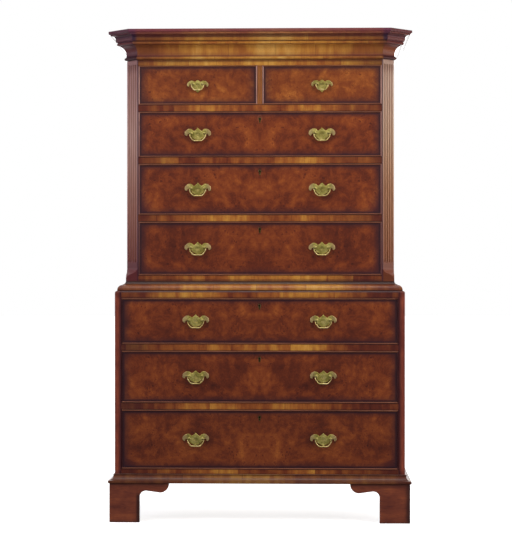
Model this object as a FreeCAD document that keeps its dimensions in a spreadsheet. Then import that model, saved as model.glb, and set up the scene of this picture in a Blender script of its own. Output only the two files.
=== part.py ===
import FreeCAD, Part
import math
import os
import Sketcher

# Chest on chest in walnut: an upper case of two short and three long drawers with canted, fluted
# corners, standing on a lower case of three long drawers with bracket feet.
# Millimetres. +Z is up, the drawers face -Y, and the origin is on the floor under the middle.

V = FreeCAD.Vector
doc = FreeCAD.newDocument("chest_on_chest")

# ---------------------------------------------------------------------------------------------
# Driving dimensions
# ---------------------------------------------------------------------------------------------

SIZES = [
    # whole piece
    ("total_height", 1800.0, "floor to the top of the cornice"),
    ("back_plane", 270.0, "Y of the back of both cases"),
    ("back_thick", 10.0, "back panels, let into rebates"),
    ("case_floor", 143.0, "underside of the lower case, top of the feet"),
    ("case_joint", 845.0, "where the upper case stands on the lower case"),
    # upper case
    ("upper_half", 493.0, "half width over the side boards"),
    ("upper_front", -204.0, "Y of the upper case front"),
    ("upper_side", 20.0, "side board thickness"),
    ("cant", 43.0, "width and depth of the canted corner"),
    ("post_inner", 447.0, "X of the inner edge of the corner post"),
    ("post_depth", 60.0, "depth of the corner post and of every rail"),
    ("top_thick", 20.0, "top board"),
    ("flute_radius", 5.0, "flute cutter"),
    ("flute_lift", 1.5, "flute axis outside the canted face"),
    ("flute_pitch", 12.5, "flute spacing"),
    ("flute_low", 953.0, "centre of the lower flute end"),
    ("flute_high", 1674.0, "centre of the upper flute end"),
    ("tongue_low", 885.0, "foot of the lamb's tongue stop"),
    ("tongue_high", 930.0, "top of the lamb's tongue stop"),
    # drawer openings, from the top row down
    ("frieze_low", 1672.5, "top of the short drawers' opening"),
    ("row_one_low", 1529.0, "row 1 opening, low"),
    ("row_two_high", 1503.0, "row 2 opening, high"),
    ("row_two_low", 1337.0, "row 2 opening, low"),
    ("row_three_high", 1311.0, "row 3 opening, high"),
    ("row_three_low", 1124.5, "row 3 opening, low"),
    ("row_four_high", 1098.5, "row 4 opening, high"),
    ("row_four_low", 902.5, "row 4 opening, low"),
    ("row_five_high", 818.0, "row 5 opening, high"),
    ("row_five_low", 651.0, "row 5 opening, low"),
    ("row_six_high", 625.5, "row 6 opening, high"),
    ("row_six_low", 436.0, "row 6 opening, low"),
    ("row_seven_high", 410.5, "row 7 opening, high"),
    ("row_seven_low", 194.0, "row 7 opening, low"),
    ("divider_half", 9.35, "half width of the upright between the short drawers"),
    ("dust_thick", 8.0, "dustboards"),
    ("board_thick", 20.0, "carcase top and bottom boards"),
    # lower case
    ("lower_half", 530.0, "half width over the side boards"),
    ("lower_front", -241.0, "Y of the lower case front"),
    ("lower_side", 24.0, "side board thickness"),
    ("edge_round", 8.0, "rounded top edge of the lower case"),
    ("arris_round", 3.0, "softened upright arris"),
    # mouldings
    ("cornice_low", 1694.0, "underside of the cornice"),
    ("cornice_out", 66.0, "cornice projection"),
    ("waist_out", 29.0, "waist moulding projection"),
    ("waist_high", 880.0, "top of the waist moulding"),
    ("base_out", 23.0, "base moulding projection"),
    ("base_high", 176.0, "top of the base moulding"),
    # feet
    ("foot_out", 18.0, "foot face beyond the case"),
    ("foot_thick", 20.0, "bracket thickness"),
    ("foot_long", 218.0, "bracket length"),
    ("foot_pad", 111.0, "width of the foot at the floor"),
    ("block_side", 40.0, "glue block side"),
    ("block_lift", 1.5, "glue block clear of the floor"),
    # drawers
    ("drawer_gap", 1.0, "gap each side of a drawer and above it"),
    ("drawer_lift", 0.5, "running clearance under a drawer"),
    ("face_recess", 1.0, "drawer face behind the rails"),
    ("front_thick", 22.0, "drawer front"),
    ("bead_wide", 3.5, "cockbead width"),
    ("bead_deep", 9.0, "cockbead rebate depth"),
    ("bead_proud", 2.6, "cockbead standing proud of the drawer face"),
    ("lining", 10.0, "drawer side and back thickness"),
    ("bottom_thick", 8.0, "drawer bottom"),
    ("bottom_lift", 6.0, "drawer bottom above the drawer side's edge"),
    ("side_drop", 5.0, "drawer side below the top of the front"),
    ("back_drop", 12.0, "drawer back below the top of the front"),
    ("tail_long", 10.0, "dovetail length"),
    ("drawer_back", 235.0, "Y of the back of every drawer"),
    ("stop_high", 4.5, "drawer stop height"),
    # brass
    ("handle_upper", 228.0, "X of a handle on the upper case"),
    ("handle_lower", 233.0, "X of a handle on the lower case"),
    ("handle_rise", 3.5, "handle posts above the drawer's middle"),
    ("plate_thick", 1.6, "backplate"),
    ("post_long", 24.0, "half the post spacing, large handle"),
    ("post_short", 17.0, "half the post spacing, small handle"),
    ("pin_out", 13.0, "bail hinge axis in front of the drawer face"),
    ("pin_radius", 1.75, "bail pin"),
    ("pin_hole", 1.8, "bail hole in the post"),
    ("rod_radius", 2.0, "bail rod"),
    ("head_radius", 3.8, "post head"),
    ("shank_radius", 2.5, "post shank"),
    ("shank_hole", 2.6, "hole for the shank"),
    ("keyhole_drop", 26.0, "keyhole centre below the top of the drawer front"),
]

sheet = doc.addObject("Spreadsheet::Sheet", "sizes")
for row, (alias, value, note) in enumerate(SIZES, 1):
    sheet.set("A%d" % row, alias)
    sheet.set("B%d" % row, repr(value))
    sheet.set("C%d" % row, note)
    sheet.setAlias("B%d" % row, alias)
doc.recompute()


class Q:
    """A length together with the spreadsheet formula that drives it."""

    def __init__(self, value, text):
        self.value = value
        self.text = text

    def __add__(self, o):
        return Q(self.value + num(o), "(%s + %s)" % (self.text, txt(o)))

    def __radd__(self, o):
        return Q(num(o) + self.value, "(%s + %s)" % (txt(o), self.text))

    def __sub__(self, o):
        return Q(self.value - num(o), "(%s - %s)" % (self.text, txt(o)))

    def __rsub__(self, o):
        return Q(num(o) - self.value, "(%s - %s)" % (txt(o), self.text))

    def __mul__(self, o):
        return Q(self.value * num(o), "(%s * %s)" % (self.text, txt(o)))

    __rmul__ = __mul__

    def __truediv__(self, o):
        return Q(self.value / num(o), "(%s / %s)" % (self.text, txt(o)))

    def __neg__(self):
        return Q(-self.value, "(0 - %s)" % self.text)


def num(a):
    return a.value if isinstance(a, Q) else float(a)


def txt(a):
    if isinstance(a, Q):
        return a.text
    return "(%r)" % float(a) if a < 0 else repr(float(a))


class Sizes:
    pass


S = Sizes()
for alias, value, note in SIZES:
    setattr(S, alias, Q(value, "sizes." + alias))

# ---------------------------------------------------------------------------------------------
# Helpers
# ---------------------------------------------------------------------------------------------


def bind(obj, prop, q):
    if isinstance(q, Q):
        obj.setExpression(prop, q.text)
    else:
        setattr(obj, prop, q)


def place(obj, x=0, y=0, z=0, rot=None):
    obj.Placement = FreeCAD.Placement(V(num(x), num(y), num(z)), rot or FreeCAD.Rotation())
    for axis, q in (("x", x), ("y", y), ("z", z)):
        if isinstance(q, Q):
            obj.setExpression("Placement.Base." + axis, q.text)
    return obj


def turn(angle):
    return FreeCAD.Rotation(V(0, 0, 1), angle)


def axes(x, y, z):
    """Rotation that carries the local axes onto the given directions."""
    m = FreeCAD.Matrix(x[0], y[0], z[0], 0, x[1], y[1], z[1], 0, x[2], y[2], z[2], 0, 0, 0, 0, 1)
    return FreeCAD.Rotation(m)


def box(name, xr, yr, zr):
    b = doc.addObject("Part::Box", name)
    for prop, r in (("Length", xr), ("Width", yr), ("Height", zr)):
        bind(b, prop, r[1] - r[0])
    return place(b, xr[0], yr[0], zr[0])


def cylinder(name, radius, length, at, along):
    c = doc.addObject("Part::Cylinder", name)
    bind(c, "Radius", radius)
    bind(c, "Height", length)
    return place(c, at[0], at[1], at[2], FreeCAD.Rotation(V(0, 0, 1), V(*along)))


def group(name, links, x=0, y=0, z=0, rot=None):
    c = doc.addObject("Part::Compound", name)
    c.Links = links
    return place(c, x, y, z, rot)


def mirrored(name, source):
    m = doc.addObject("Part::Mirroring", name)
    m.Source = source
    m.Normal = V(1, 0, 0)
    m.Base = V(0, 0, 0)
    return m


def cut(name, base, tool):
    c = doc.addObject("Part::Cut", name)
    c.Base = base
    c.Tool = tool
    return c


def new_body(name):
    return doc.addObject("PartDesign::Body", name)


def sketch_on(body, name, role, offset=None):
    sk = body.newObject("Sketcher::SketchObject", name)
    support = None
    for f in body.Origin.OriginFeatures:
        if f.Role == role:
            support = f
    sk.AttachmentSupport = (support, [""])
    sk.MapMode = "FlatFace"
    if offset is not None:
        sk.AttachmentOffset = offset
    return sk


def three_point_arc(p, m, q):
    """Centre, radius and angles of the arc from p through m to q, counter-clockwise."""
    ax, ay, bx, by, cx, cy = p[0], p[1], m[0], m[1], q[0], q[1]
    d = 2.0 * (ax * (by - cy) + bx * (cy - ay) + cx * (ay - by))
    ux = ((ax * ax + ay * ay) * (by - cy) + (bx * bx + by * by) * (cy - ay) + (cx * cx + cy * cy) * (ay - by)) / d
    uy = ((ax * ax + ay * ay) * (cx - bx) + (bx * bx + by * by) * (ax - cx) + (cx * cx + cy * cy) * (bx - ax)) / d
    r = math.hypot(ax - ux, ay - uy)
    a0 = math.atan2(ay - uy, ax - ux)
    a1 = math.atan2(cy - uy, cx - ux)
    ccw = (bx - ax) * (cy - ay) - (by - ay) * (cx - ax) > 0
    if not ccw:
        a0, a1 = a1, a0
    while a1 <= a0:
        a1 += 2.0 * math.pi
    return ux, uy, r, a0, a1, ccw


def pin_point(sk, geo, end, x, y):
    """Fix one end of one edge at (x, y), by sizes from the sheet where they have them."""
    for kind, q, axis in (("DistanceX", x, -2), ("DistanceY", y, -1)):
        if not isinstance(q, Q) and abs(q) < 1e-9:
            sk.addConstraint(Sketcher.Constraint("PointOnObject", geo, end, axis))
            continue
        i = sk.addConstraint(Sketcher.Constraint(kind, -1, 1, geo, end, num(q)))
        if isinstance(q, Q):
            sk.setExpression("Constraints[%d]" % i, q.text)


def outline(sk, verts):
    """Closed outline. A vertex is (x, y), or (x, y, mx, my) where an arc through (mx, my) leaves it."""
    first = sk.GeometryCount
    ends = []
    n = len(verts)
    for i, v in enumerate(verts):
        w = verts[(i + 1) % n]
        p, q = (num(v[0]), num(v[1])), (num(w[0]), num(w[1]))
        if len(v) == 4:
            ux, uy, r, a0, a1, ccw = three_point_arc(p, (num(v[2]), num(v[3])), q)
            circle = Part.Circle(V(ux, uy, 0), V(0, 0, 1), r)
            g = sk.addGeometry(Part.ArcOfCircle(circle, a0, a1), False)
            ends.append((g, 1, 2) if ccw else (g, 2, 1))
        else:
            g = sk.addGeometry(Part.LineSegment(V(p[0], p[1], 0), V(q[0], q[1], 0)), False)
            ends.append((g, 1, 2))
    for i, v in enumerate(verts):
        g, start, stop = ends[i]
        g2, start2, stop2 = ends[(i + 1) % n]
        sk.addConstraint(Sketcher.Constraint("Coincident", g, stop, g2, start2))
        pin_point(sk, g, start, v[0], v[1])
    for i, v in enumerate(verts):
        if len(v) != 4:
            continue
        g = ends[i][0]
        arc = sk.Geometry[g]
        if abs(abs(arc.LastParameter - arc.FirstParameter) - math.pi) > 0.05:
            sk.addConstraint(Sketcher.Constraint("Radius", g, arc.Radius))
            continue
        # a half circle: its radius is set by its ends, so its centre is fixed across the chord
        w = verts[(i + 1) % n]
        if abs(num(w[0]) - num(v[0])) > abs(num(w[1]) - num(v[1])):
            sk.addConstraint(Sketcher.Constraint("DistanceY", -1, 1, g, 3, arc.Center.y))
        else:
            sk.addConstraint(Sketcher.Constraint("DistanceX", -1, 1, g, 3, arc.Center.x))
    return first


def circle(sk, x, y, r):
    g = sk.addGeometry(Part.Circle(V(num(x), num(y), 0), V(0, 0, 1), num(r)), False)
    i = sk.addConstraint(Sketcher.Constraint("Radius", g, num(r)))
    if isinstance(r, Q):
        sk.setExpression("Constraints[%d]" % i, r.text)
    pin_point(sk, g, 3, x, y)


def pad(body, name, sk, length, both=False, back=False):
    f = body.newObject("PartDesign::Pad", name)
    f.Profile = sk
    f.SideType = "Symmetric" if both else "One side"
    f.Reversed = back
    bind(f, "Length", length)
    return f


def pocket(body, name, sk, length=None, both=False, back=False):
    f = body.newObject("PartDesign::Pocket", name)
    f.Profile = sk
    if length is None:
        f.Type = "ThroughAll"
        f.SideType = "Symmetric"
    else:
        f.Type = "Length"
        f.SideType = "Symmetric" if both else "One side"
        f.Reversed = back
        bind(f, "Length", length)
    return f


def rectangle(x0, x1, y0, y1):
    return [(x0, y0), (x1, y0), (x1, y1), (x0, y1)]


def run(name, profile, half, out, slope_low, slope_high):
    """A straight length of moulding along local X. The profile lists (projection, height), the
    projection going to -Y. Its length is 2*half at the back; each end's mitre grows by slope
    times the projection, and slope 0 is a square end."""
    b = new_body(name)
    sk = sketch_on(b, name + "_profile", "YZ_Plane")
    verts = []
    for v in profile:
        verts.append((-v[0], v[1]) if len(v) == 2 else (-v[0], v[1], -v[2], v[3]))
    outline(sk, verts)
    big = max(slope_low, slope_high)
    pad(b, name + "_length", sk, half * 2.0 + out * (2.0 * big) + 2.0, both=True)
    end = half + out * big + 6.0
    mt = sketch_on(b, name + "_mitres", "XY_Plane")
    for sign, slope in ((1.0, slope_high), (-1.0, slope_low)):
        x0 = (half - 5.0 * slope) * sign
        x1 = (half + (out + 5.0) * slope) * sign
        far = end * sign
        outline(mt, [(x0, 5.0), (x1, -(out + 5.0)), (far, -(out + 5.0)), (far, 5.0)])
    pocket(b, name + "_ends", mt)
    return b


NODES = []


def node(name, obj, body):
    """Name a finished sub-part."""
    obj.Label = name
    NODES.append((name, obj))
    return obj


# ---------------------------------------------------------------------------------------------
# Upper case
# ---------------------------------------------------------------------------------------------

UF = S.upper_front
LF = S.lower_front
BACK = S.back_plane
POST_BACK = UF + S.post_depth          # back of the corner posts and rails
RAIL_BACK = LF + S.post_depth
PANEL = BACK - S.back_thick            # front of the back panels
TOP_UNDER = S.total_height - S.top_thick


def side_board(name, half, thick, front, low, high):
    """Side board with a rebate for the back panel, grain upright."""
    b = new_body(name)
    sk = sketch_on(b, name + "_plan", "XY_Plane")
    rebate = half - thick / 2.0
    outline(sk, [(half - thick, front), (half, front), (half, BACK), (rebate, BACK), (rebate, PANEL), (half - thick, PANEL)])
    pad(b, name + "_height", sk, high - low)
    place(b, 0, 0, low)
    return b


side_u = side_board("upper_side_board", S.upper_half, S.upper_side, POST_BACK, S.case_joint, TOP_UNDER)
node("upper_side_right", group("upper_side_r", [side_u]), "root")
node("upper_side_left", mirrored("upper_side_l", side_u), "root")

# Top board, cut to the canted corners
top = new_body("top_board_body")
sk = sketch_on(top, "top_board_plan", "XY_Plane")
inner = S.upper_half - S.cant
outline(sk, [(-inner, UF), (inner, UF), (S.upper_half, UF + S.cant), (S.upper_half, BACK), (-S.upper_half, BACK), (-S.upper_half, UF + S.cant)])
pad(top, "top_board_thickness", sk, S.top_thick)
place(top, 0, 0, TOP_UNDER)
node("upper_top_board", top, "root")

u_in = S.upper_half - S.upper_side
node("upper_bottom_board", box("upper_bottom", (-u_in, u_in), (POST_BACK, PANEL), (S.row_four_low - S.board_thick, S.row_four_low)), "root")
u_reb = S.upper_half - S.upper_side / 2.0
node("upper_back_panel", box("upper_back", (-u_reb, u_reb), (PANEL, BACK), (S.case_joint, TOP_UNDER)), "root")
node("frieze_rail", box("frieze", (-S.post_inner, S.post_inner), (UF, UF + 22.0), (S.frieze_low, TOP_UNDER)), "root")

# Corner post: square in section, canted above a lamb's tongue stop, with four round-ended flutes
post = new_body("pilaster_body")
sk = sketch_on(post, "pilaster_plan", "XY_Plane")
outline(sk, rectangle(S.post_inner, S.upper_half, UF, POST_BACK))
pad(post, "pilaster_height", sk, TOP_UNDER - S.case_joint)
place(post, 0, 0, S.case_joint)
deep = S.cant * math.sqrt(0.5)
mid_u = deep / -2.0
t_low, t_high = S.tongue_low - S.case_joint, S.tongue_high - S.case_joint
t_mid = (t_low + t_high) / 2.0
rise = num(t_mid - t_low)
run_in = num(deep) / 2.0
bend = (run_in ** 2 + rise ** 2) / (2.0 * run_in)
half_turn = math.asin(rise / bend) / 2.0
low_mid = (-(bend - bend * math.cos(half_turn)), num(t_low) + bend * math.sin(half_turn))
high_mid = (-num(deep) + (bend - bend * math.cos(half_turn)), num(t_high) - bend * math.sin(half_turn))
diagonal = FreeCAD.Placement(V(num(S.upper_half), 0, -num(UF)), FreeCAD.Rotation(V(0, 1, 0), -45))
sk = sketch_on(post, "pilaster_cant", "XZ_Plane", diagonal)
high = TOP_UNDER - S.case_joint + 5.0
outline(sk, [
    (0.0, t_low, low_mid[0], low_mid[1]),
    (mid_u, t_mid, high_mid[0], high_mid[1]),
    (-deep, t_high),
    (-deep, high),
    (40.0, high),
    (40.0, t_low),
])
pocket(post, "pilaster_cant_cut", sk)
# Flutes: a round-ended cutter whose axis runs just outside the canted face, stepped four times
axis_u = -deep + S.flute_lift
f_low, f_high = S.flute_low - S.case_joint, S.flute_high - S.case_joint
flutes = []
for i in range(4):
    shift = (i - 1.5) * num(S.flute_pitch)
    diag = FreeCAD.Placement(V(num(S.upper_half), 0, -num(UF)), FreeCAD.Rotation(V(0, 1, 0), -45))
    step = FreeCAD.Placement(V(0, 0, shift), FreeCAD.Rotation())
    sk = sketch_on(post, "flute_%d_profile" % (i + 1), "XZ_Plane", diag.multiply(step))
    rad = num(S.flute_radius)
    au = num(axis_u)
    k = math.sqrt(0.5) * rad
    outline(sk, [
        (axis_u, f_low - S.flute_radius, au + k, num(f_low) - k),
        (axis_u + S.flute_radius, f_low),
        (axis_u + S.flute_radius, f_high, au + k, num(f_high) + k),
        (axis_u, f_high + S.flute_radius),
    ])
    g = post.newObject("PartDesign::Groove", "flute_%d" % (i + 1))
    g.Profile = sk
    # the straight side of the profile is the cutter's axis
    g.ReferenceAxis = (sk, ["Edge4"])
    g.Angle = 360.0
    flutes.append(g)
node("corner_pilaster_right", group("pilaster_r", [post]), "root")
node("corner_pilaster_left", mirrored("pilaster_l", post), "root")

# Rails, dustboards, drawer guides and stops of the upper case
p_in = S.post_inner
frames = []
for tag, low, high in (
    ("one", S.row_two_high, S.row_one_low),
    ("two", S.row_three_high, S.row_two_low),
    ("three", S.row_four_high, S.row_three_low),
):
    frames.append(box("upper_rail_" + tag, (-p_in, p_in), (UF, POST_BACK), (low, high)))
    frames.append(box("upper_dustboard_" + tag, (-u_in, u_in), (POST_BACK, PANEL), (high - S.dust_thick, high)))
frames.append(box("upper_rail_bottom", (-p_in, p_in), (UF, POST_BACK), (S.case_joint, S.row_four_low)))
for tag, low in (("one", S.row_one_low), ("two", S.row_two_low), ("three", S.row_three_low), ("four", S.row_four_low)):
    frames.append(box("upper_guide_r_" + tag, (p_in, u_in), (POST_BACK, PANEL), (low, low + 20.0)))
    frames.append(box("upper_guide_l_" + tag, (-u_in, -p_in), (POST_BACK, PANEL), (low, low + 20.0)))


def stops(tag, front, low, places):
    made = []
    y0 = front + S.face_recess + S.front_thick + 0.3
    for i, x in enumerate(places):
        made.append(box("stop_%s_%d" % (tag, i + 1), (x - 20.0, x + 20.0), (y0, y0 + 10.0), (low, low + S.stop_high)))
    return made


frames += stops("one", UF, S.row_one_low, (-330.0, -120.0, 120.0, 330.0))
frames += stops("two", UF, S.row_two_low, (-300.0, 300.0))
frames += stops("three", UF, S.row_three_low, (-300.0, 300.0))
frames += stops("four", UF, S.row_four_low, (-300.0, 300.0))
node("upper_divider_frames", group("upper_frames", frames), "root")

dh = S.divider_half
divider = [
    box("divider_upright", (-dh, dh), (UF, POST_BACK), (S.row_one_low, S.frieze_low)),
    box("divider_guide", (-dh, dh), (POST_BACK, PANEL), (S.row_one_low, S.row_one_low + 20.0)),
]
node("short_drawer_divider", group("divider", divider), "root")

# Cornice: bead, tall cavetto, fascia, ovolo, cove and top ovolo; mitred round the canted corners
B0 = S.cornice_low
CO = S.cornice_out
cornice_profile = [
    (0.0, B0),
    (4.0, B0 + 0.8, 9.4, B0 + 6.2),
    (4.0, B0 + 11.8),
    (2.6, B0 + 13.2),
    (2.6, B0 + 16.0, 7.0, B0 + 38.0),
    (23.5, B0 + 51.5),
    (23.5, B0 + 54.5),
    (31.5, B0 + 54.5, 36.2, B0 + 58.8),
    (33.6, B0 + 63.2),
    (33.6, B0 + 66.0),
    (38.0, B0 + 66.0, 40.6, B0 + 72.8),
    (40.6, B0 + 79.0, 46.0, B0 + 87.2),
    (57.0, B0 + 89.2),
    (59.0, B0 + 89.2),
    (59.0, B0 + 94.0, 64.0, B0 + 95.2),
    (CO, B0 + 99.0),
    (CO, S.total_height),
    (0.0, S.total_height),
]
t22 = math.tan(math.radians(22.5))
cant_half = S.cant * (math.sqrt(2.0) / 2.0)
side_half = (BACK - (UF + S.cant)) / 2.0
side_mid = (BACK + (UF + S.cant)) / 2.0
corner_mid = S.upper_half - S.cant / 2.0
c_front = run("cornice_front", cornice_profile, inner, CO, t22, t22)
place(c_front, 0, UF, 0)
c_cant = run("cornice_cant", cornice_profile, cant_half, CO, t22, t22)
place(c_cant, corner_mid, UF + S.cant / 2.0, 0, turn(45))
c_side = run("cornice_side", cornice_profile, side_half, CO, t22, 0.0)
place(c_side, S.upper_half, side_mid, 0, turn(90))
c_cant_l = mirrored("cornice_cant_left", c_cant)
c_side_l = mirrored("cornice_side_left", c_side)
node("cornice_moulding", group("cornice", [c_front, c_cant, c_side, c_cant_l, c_side_l]), "root")

# ---------------------------------------------------------------------------------------------
# Lower case
# ---------------------------------------------------------------------------------------------

side_w = side_board("lower_side_board", S.lower_half, S.lower_side, LF, S.case_floor, S.case_joint)
doc.recompute()


def round_edges(body, name, radius, test):
    """Round the edges of the body's newest feature that pass the test."""
    base = body.Tip
    names = ["Edge%d" % (i + 1) for i, e in enumerate(base.Shape.Edges) if test(e)]
    f = body.newObject("PartDesign::Fillet", name)
    f.Base = (base, names)
    bind(f, "Radius", radius)
    doc.recompute()
    return f


def near(a, b):
    return abs(a - num(b)) < 0.01


L_TOP = S.case_joint - S.case_floor
round_edges(side_w, "lower_arris", S.arris_round,
            lambda e: e.Length > 600 and near(e.CenterOfMass.x, S.lower_half) and near(e.CenterOfMass.y, LF))
round_edges(side_w, "lower_top_edge", S.edge_round,
            lambda e: near(e.CenterOfMass.z, L_TOP) and (e.CenterOfMass.x > num(S.lower_half) - 2.0 or e.CenterOfMass.y < num(LF) + 2.0))
node("lower_side_right", group("lower_side_r", [side_w]), "root")
node("lower_side_left", mirrored("lower_side_l", side_w), "root")

l_in = S.lower_half - S.lower_side
l_reb = S.lower_half - S.lower_side / 2.0
node("lower_top_board", box("lower_top", (-l_in, l_in), (RAIL_BACK, PANEL), (S.case_joint - S.board_thick, S.case_joint)), "root")
node("lower_bottom_board", box("lower_bottom", (-l_in, l_in), (RAIL_BACK, PANEL), (S.row_seven_low - S.board_thick, S.row_seven_low)), "root")
node("lower_back_panel", box("lower_back", (-l_reb, l_reb), (PANEL, BACK), (S.case_floor, S.case_joint)), "root")

# Top rail with the rounded edge of the case, carried across from side to side
rail = new_body("lower_rail_top")
sk = sketch_on(rail, "lower_rail_top_section", "YZ_Plane")
er = S.edge_round
k = num(er) * (1.0 - math.sqrt(0.5))
outline(sk, [
    (LF, S.row_five_high),
    (RAIL_BACK, S.row_five_high),
    (RAIL_BACK, S.case_joint),
    (LF + er, S.case_joint, num(LF) + k, num(S.case_joint) - k),
    (LF, S.case_joint - er),
])
pad(rail, "lower_rail_top_length", sk, l_in * 2.0, both=True)
frames = [rail]
for tag, low, high in (("five", S.row_six_high, S.row_five_low), ("six", S.row_seven_high, S.row_six_low)):
    frames.append(box("lower_rail_" + tag, (-l_in, l_in), (LF, RAIL_BACK), (low, high)))
    frames.append(box("lower_dustboard_" + tag, (-l_in, l_in), (RAIL_BACK, PANEL), (high - S.dust_thick, high)))
frames.append(box("lower_rail_bottom", (-l_in, l_in), (LF, RAIL_BACK), (S.case_floor, S.row_seven_low)))
for tag, low in (("five", S.row_five_low), ("six", S.row_six_low), ("seven", S.row_seven_low)):
    frames += stops(tag, LF, low, (-330.0, 330.0))
node("lower_divider_frames", group("lower_frames", frames), "root")

# Waist moulding: a small cove over a large ovolo, square mitred corners, no back run
W1 = S.case_joint
WO = S.waist_out
waist_profile = [
    (0.0, S.waist_high, 2.6, S.waist_high - 7.2),
    (9.0, S.waist_high - 11.5),
    (11.0, S.waist_high - 11.5),
    (11.0, S.waist_high - 13.2, 23.7, S.waist_high - 18.95),
    (WO, S.case_joint + 3.0),
    (WO, W1),
    (0.0, W1),
]
w_half = (BACK - UF) / 2.0
w_mid = (BACK + UF) / 2.0
w_front = run("waist_front", waist_profile, S.upper_half, WO, 1.0, 1.0)
place(w_front, 0, UF, 0)
w_side = run("waist_side", waist_profile, w_half, WO, 1.0, 0.0)
place(w_side, S.upper_half, w_mid, 0, turn(90))
node("waist_moulding", group("waist", [w_front, w_side, mirrored("waist_side_left", w_side)]), "root")

# Base moulding: fillet, cavetto and a thin top bead
BO = S.base_out
BH = S.base_high
base_profile = [
    (0.0, S.case_floor),
    (BO - 1.0, S.case_floor, BO, S.case_floor + 5.0),
    (BO - 1.0, S.case_floor + 10.0),
    (BO - 4.0, S.case_floor + 10.0, 8.4, S.case_floor + 16.4),
    (4.2, BH - 5.0),
    (4.2, BH - 4.4, 5.4, BH - 2.2),
    (3.6, BH),
    (0.0, BH),
]
b_half = (BACK - LF) / 2.0
b_mid = (BACK + LF) / 2.0
b_front = run("base_front", base_profile, S.lower_half, BO, 1.0, 1.0)
place(b_front, 0, LF, 0)
b_side = run("base_side", base_profile, b_half, BO, 1.0, 0.0)
place(b_side, S.lower_half, b_mid, 0, turn(90))
node("base_moulding", group("base", [b_front, b_side, mirrored("base_side_left", b_side)]), "root")

# Bracket feet
FL, FT, FH = S.foot_long, S.foot_thick, S.case_floor


def bracket(name, mitre):
    """Shaped bracket with its outer corner at local X = 0, running to -X, face at Y = 0."""
    b = new_body(name)
    sk = sketch_on(b, name + "_outline", "XZ_Plane")
    outline(sk, [
        (0.0, 0.0),
        (0.0, FH),
        (-FL, FH, -(FL - 8.0), 120.0),
        (-(FL - 33.0), 109.0, -(FL - 58.0), 112.5),
        (-(S.foot_pad + 23.5), 116.0, -(S.foot_pad + 7.0), 109.5),
        (-S.foot_pad, 96.0),
        (-S.foot_pad, 0.0),
    ])
    pad(b, name + "_thickness", sk, FT, back=True)
    if mitre:
        mt = sketch_on(b, name + "_mitre", "XY_Plane")
        outline(mt, [(5.0, -5.0), (5.0, FT + 5.0), (-(FT + 5.0), FT + 5.0)])
        pocket(b, name + "_mitre_cut", mt)
    return b


FX = S.lower_half + S.foot_out
FY = LF - S.foot_out
right_hand = bracket("bracket_mitred", True)
left_hand = mirrored("bracket_mitred_left", right_hand)
plain_right = bracket("bracket_plain", False)
plain_left = mirrored("bracket_plain_left", plain_right)
bs = S.block_side
blocks = []
for tag, xr in (("r", (FX - FT - bs, FX - FT)), ("l", (-(FX - FT), -(FX - FT - bs)))):
    blocks.append(box("front_block_" + tag, xr, (FY + FT, FY + FT + bs), (S.block_lift, FH)))
feet = [
    group("front_bracket_r", [right_hand], FX, FY, 0),
    group("front_side_bracket_r", [left_hand], FX, FY, 0, turn(90)),
    group("front_bracket_l", [left_hand], -FX, FY, 0),
    group("front_side_bracket_l", [right_hand], -FX, FY, 0, turn(-90)),
]
node("front_bracket_feet", group("front_feet", feet + blocks), "root")

# Rear feet: shaped bracket on each side, a plain sloped bracket at the back and a glue block
rear = new_body("rear_bracket_body")
sk = sketch_on(rear, "rear_bracket_outline", "XZ_Plane")
outline(sk, [(0.0, 0.0), (0.0, FH), (-150.0, FH), (-150.0, FH - 12.0), (-52.0, 62.0), (-40.0, 46.0), (-40.0, 0.0)])
pad(rear, "rear_bracket_thickness", sk, FT, back=True)
rear_l = mirrored("rear_bracket_left", rear)
rear_parts = [
    group("rear_side_bracket_r", [plain_right], FX, BACK, 0, turn(90)),
    group("rear_side_bracket_l", [plain_left], -FX, BACK, 0, turn(-90)),
    group("rear_bracket_r", [rear], FX - FT, BACK - FT, 0),
    group("rear_bracket_l", [rear_l], -(FX - FT), BACK - FT, 0),
]
for tag, xr in (("r", (FX - FT - bs, FX - FT)), ("l", (-(FX - FT), -(FX - FT - bs)))):
    rear_parts.append(box("rear_block_" + tag, xr, (BACK - FT - bs, BACK - FT), (S.block_lift, FH)))
node("rear_bracket_feet", group("rear_feet", rear_parts), "root")

# ---------------------------------------------------------------------------------------------
# Handles: solid shaped backplate, two turned posts with nuts, and a swinging bail
# ---------------------------------------------------------------------------------------------

# right half of the plate outline: (x, z) and, where the edge leaving the point is an arc, its middle
LARGE_PLATE = [
    (0.0, 20.5, 5.2, 15.6),
    (10.6, 11.2, 13.4, 9.4),
    (16.8, 10.4, 21.8, 14.8),
    (28.4, 16.6, 36.4, 15.6),
    (43.0, 10.8, 46.8, 7.0),
    (48.0, 1.6, 47.6, -4.6),
    (43.6, -8.6, 40.6, -8.9),
    (38.6, -6.4, 37.0, -2.0),
    (33.6, -1.4, 30.6, -3.4),
    (28.0, -7.4),
    (24.2, -8.6, 21.6, -14.0),
    (16.2, -19.2),
    (13.0, -20.2, 9.0, -22.8),
    (4.2, -23.6),
]
LARGE_TIP = (0.0, -26.4)
SMALL_PLATE = [
    (0.0, 14.6, 4.0, 13.4),
    (7.0, 10.6, 9.8, 9.0),
    (13.0, 9.6, 16.6, 11.8),
    (22.0, 12.4, 28.6, 11.4),
    (34.0, 7.4, 37.4, 4.2),
    (38.8, -0.2, 38.6, -5.4),
    (35.6, -8.6, 33.2, -8.6),
    (31.8, -6.0, 30.2, -1.6),
    (27.6, -1.0, 24.6, -2.4),
    (22.4, -5.8),
    (19.2, -7.0, 17.2, -12.2),
    (12.4, -16.6),
    (8.8, -17.6, 7.2, -21.0),
    (6.6, -23.6, 4.8, -26.8),
    (2.2, -29.4),
]
SMALL_TIP = (0.0, -32.0)


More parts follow.
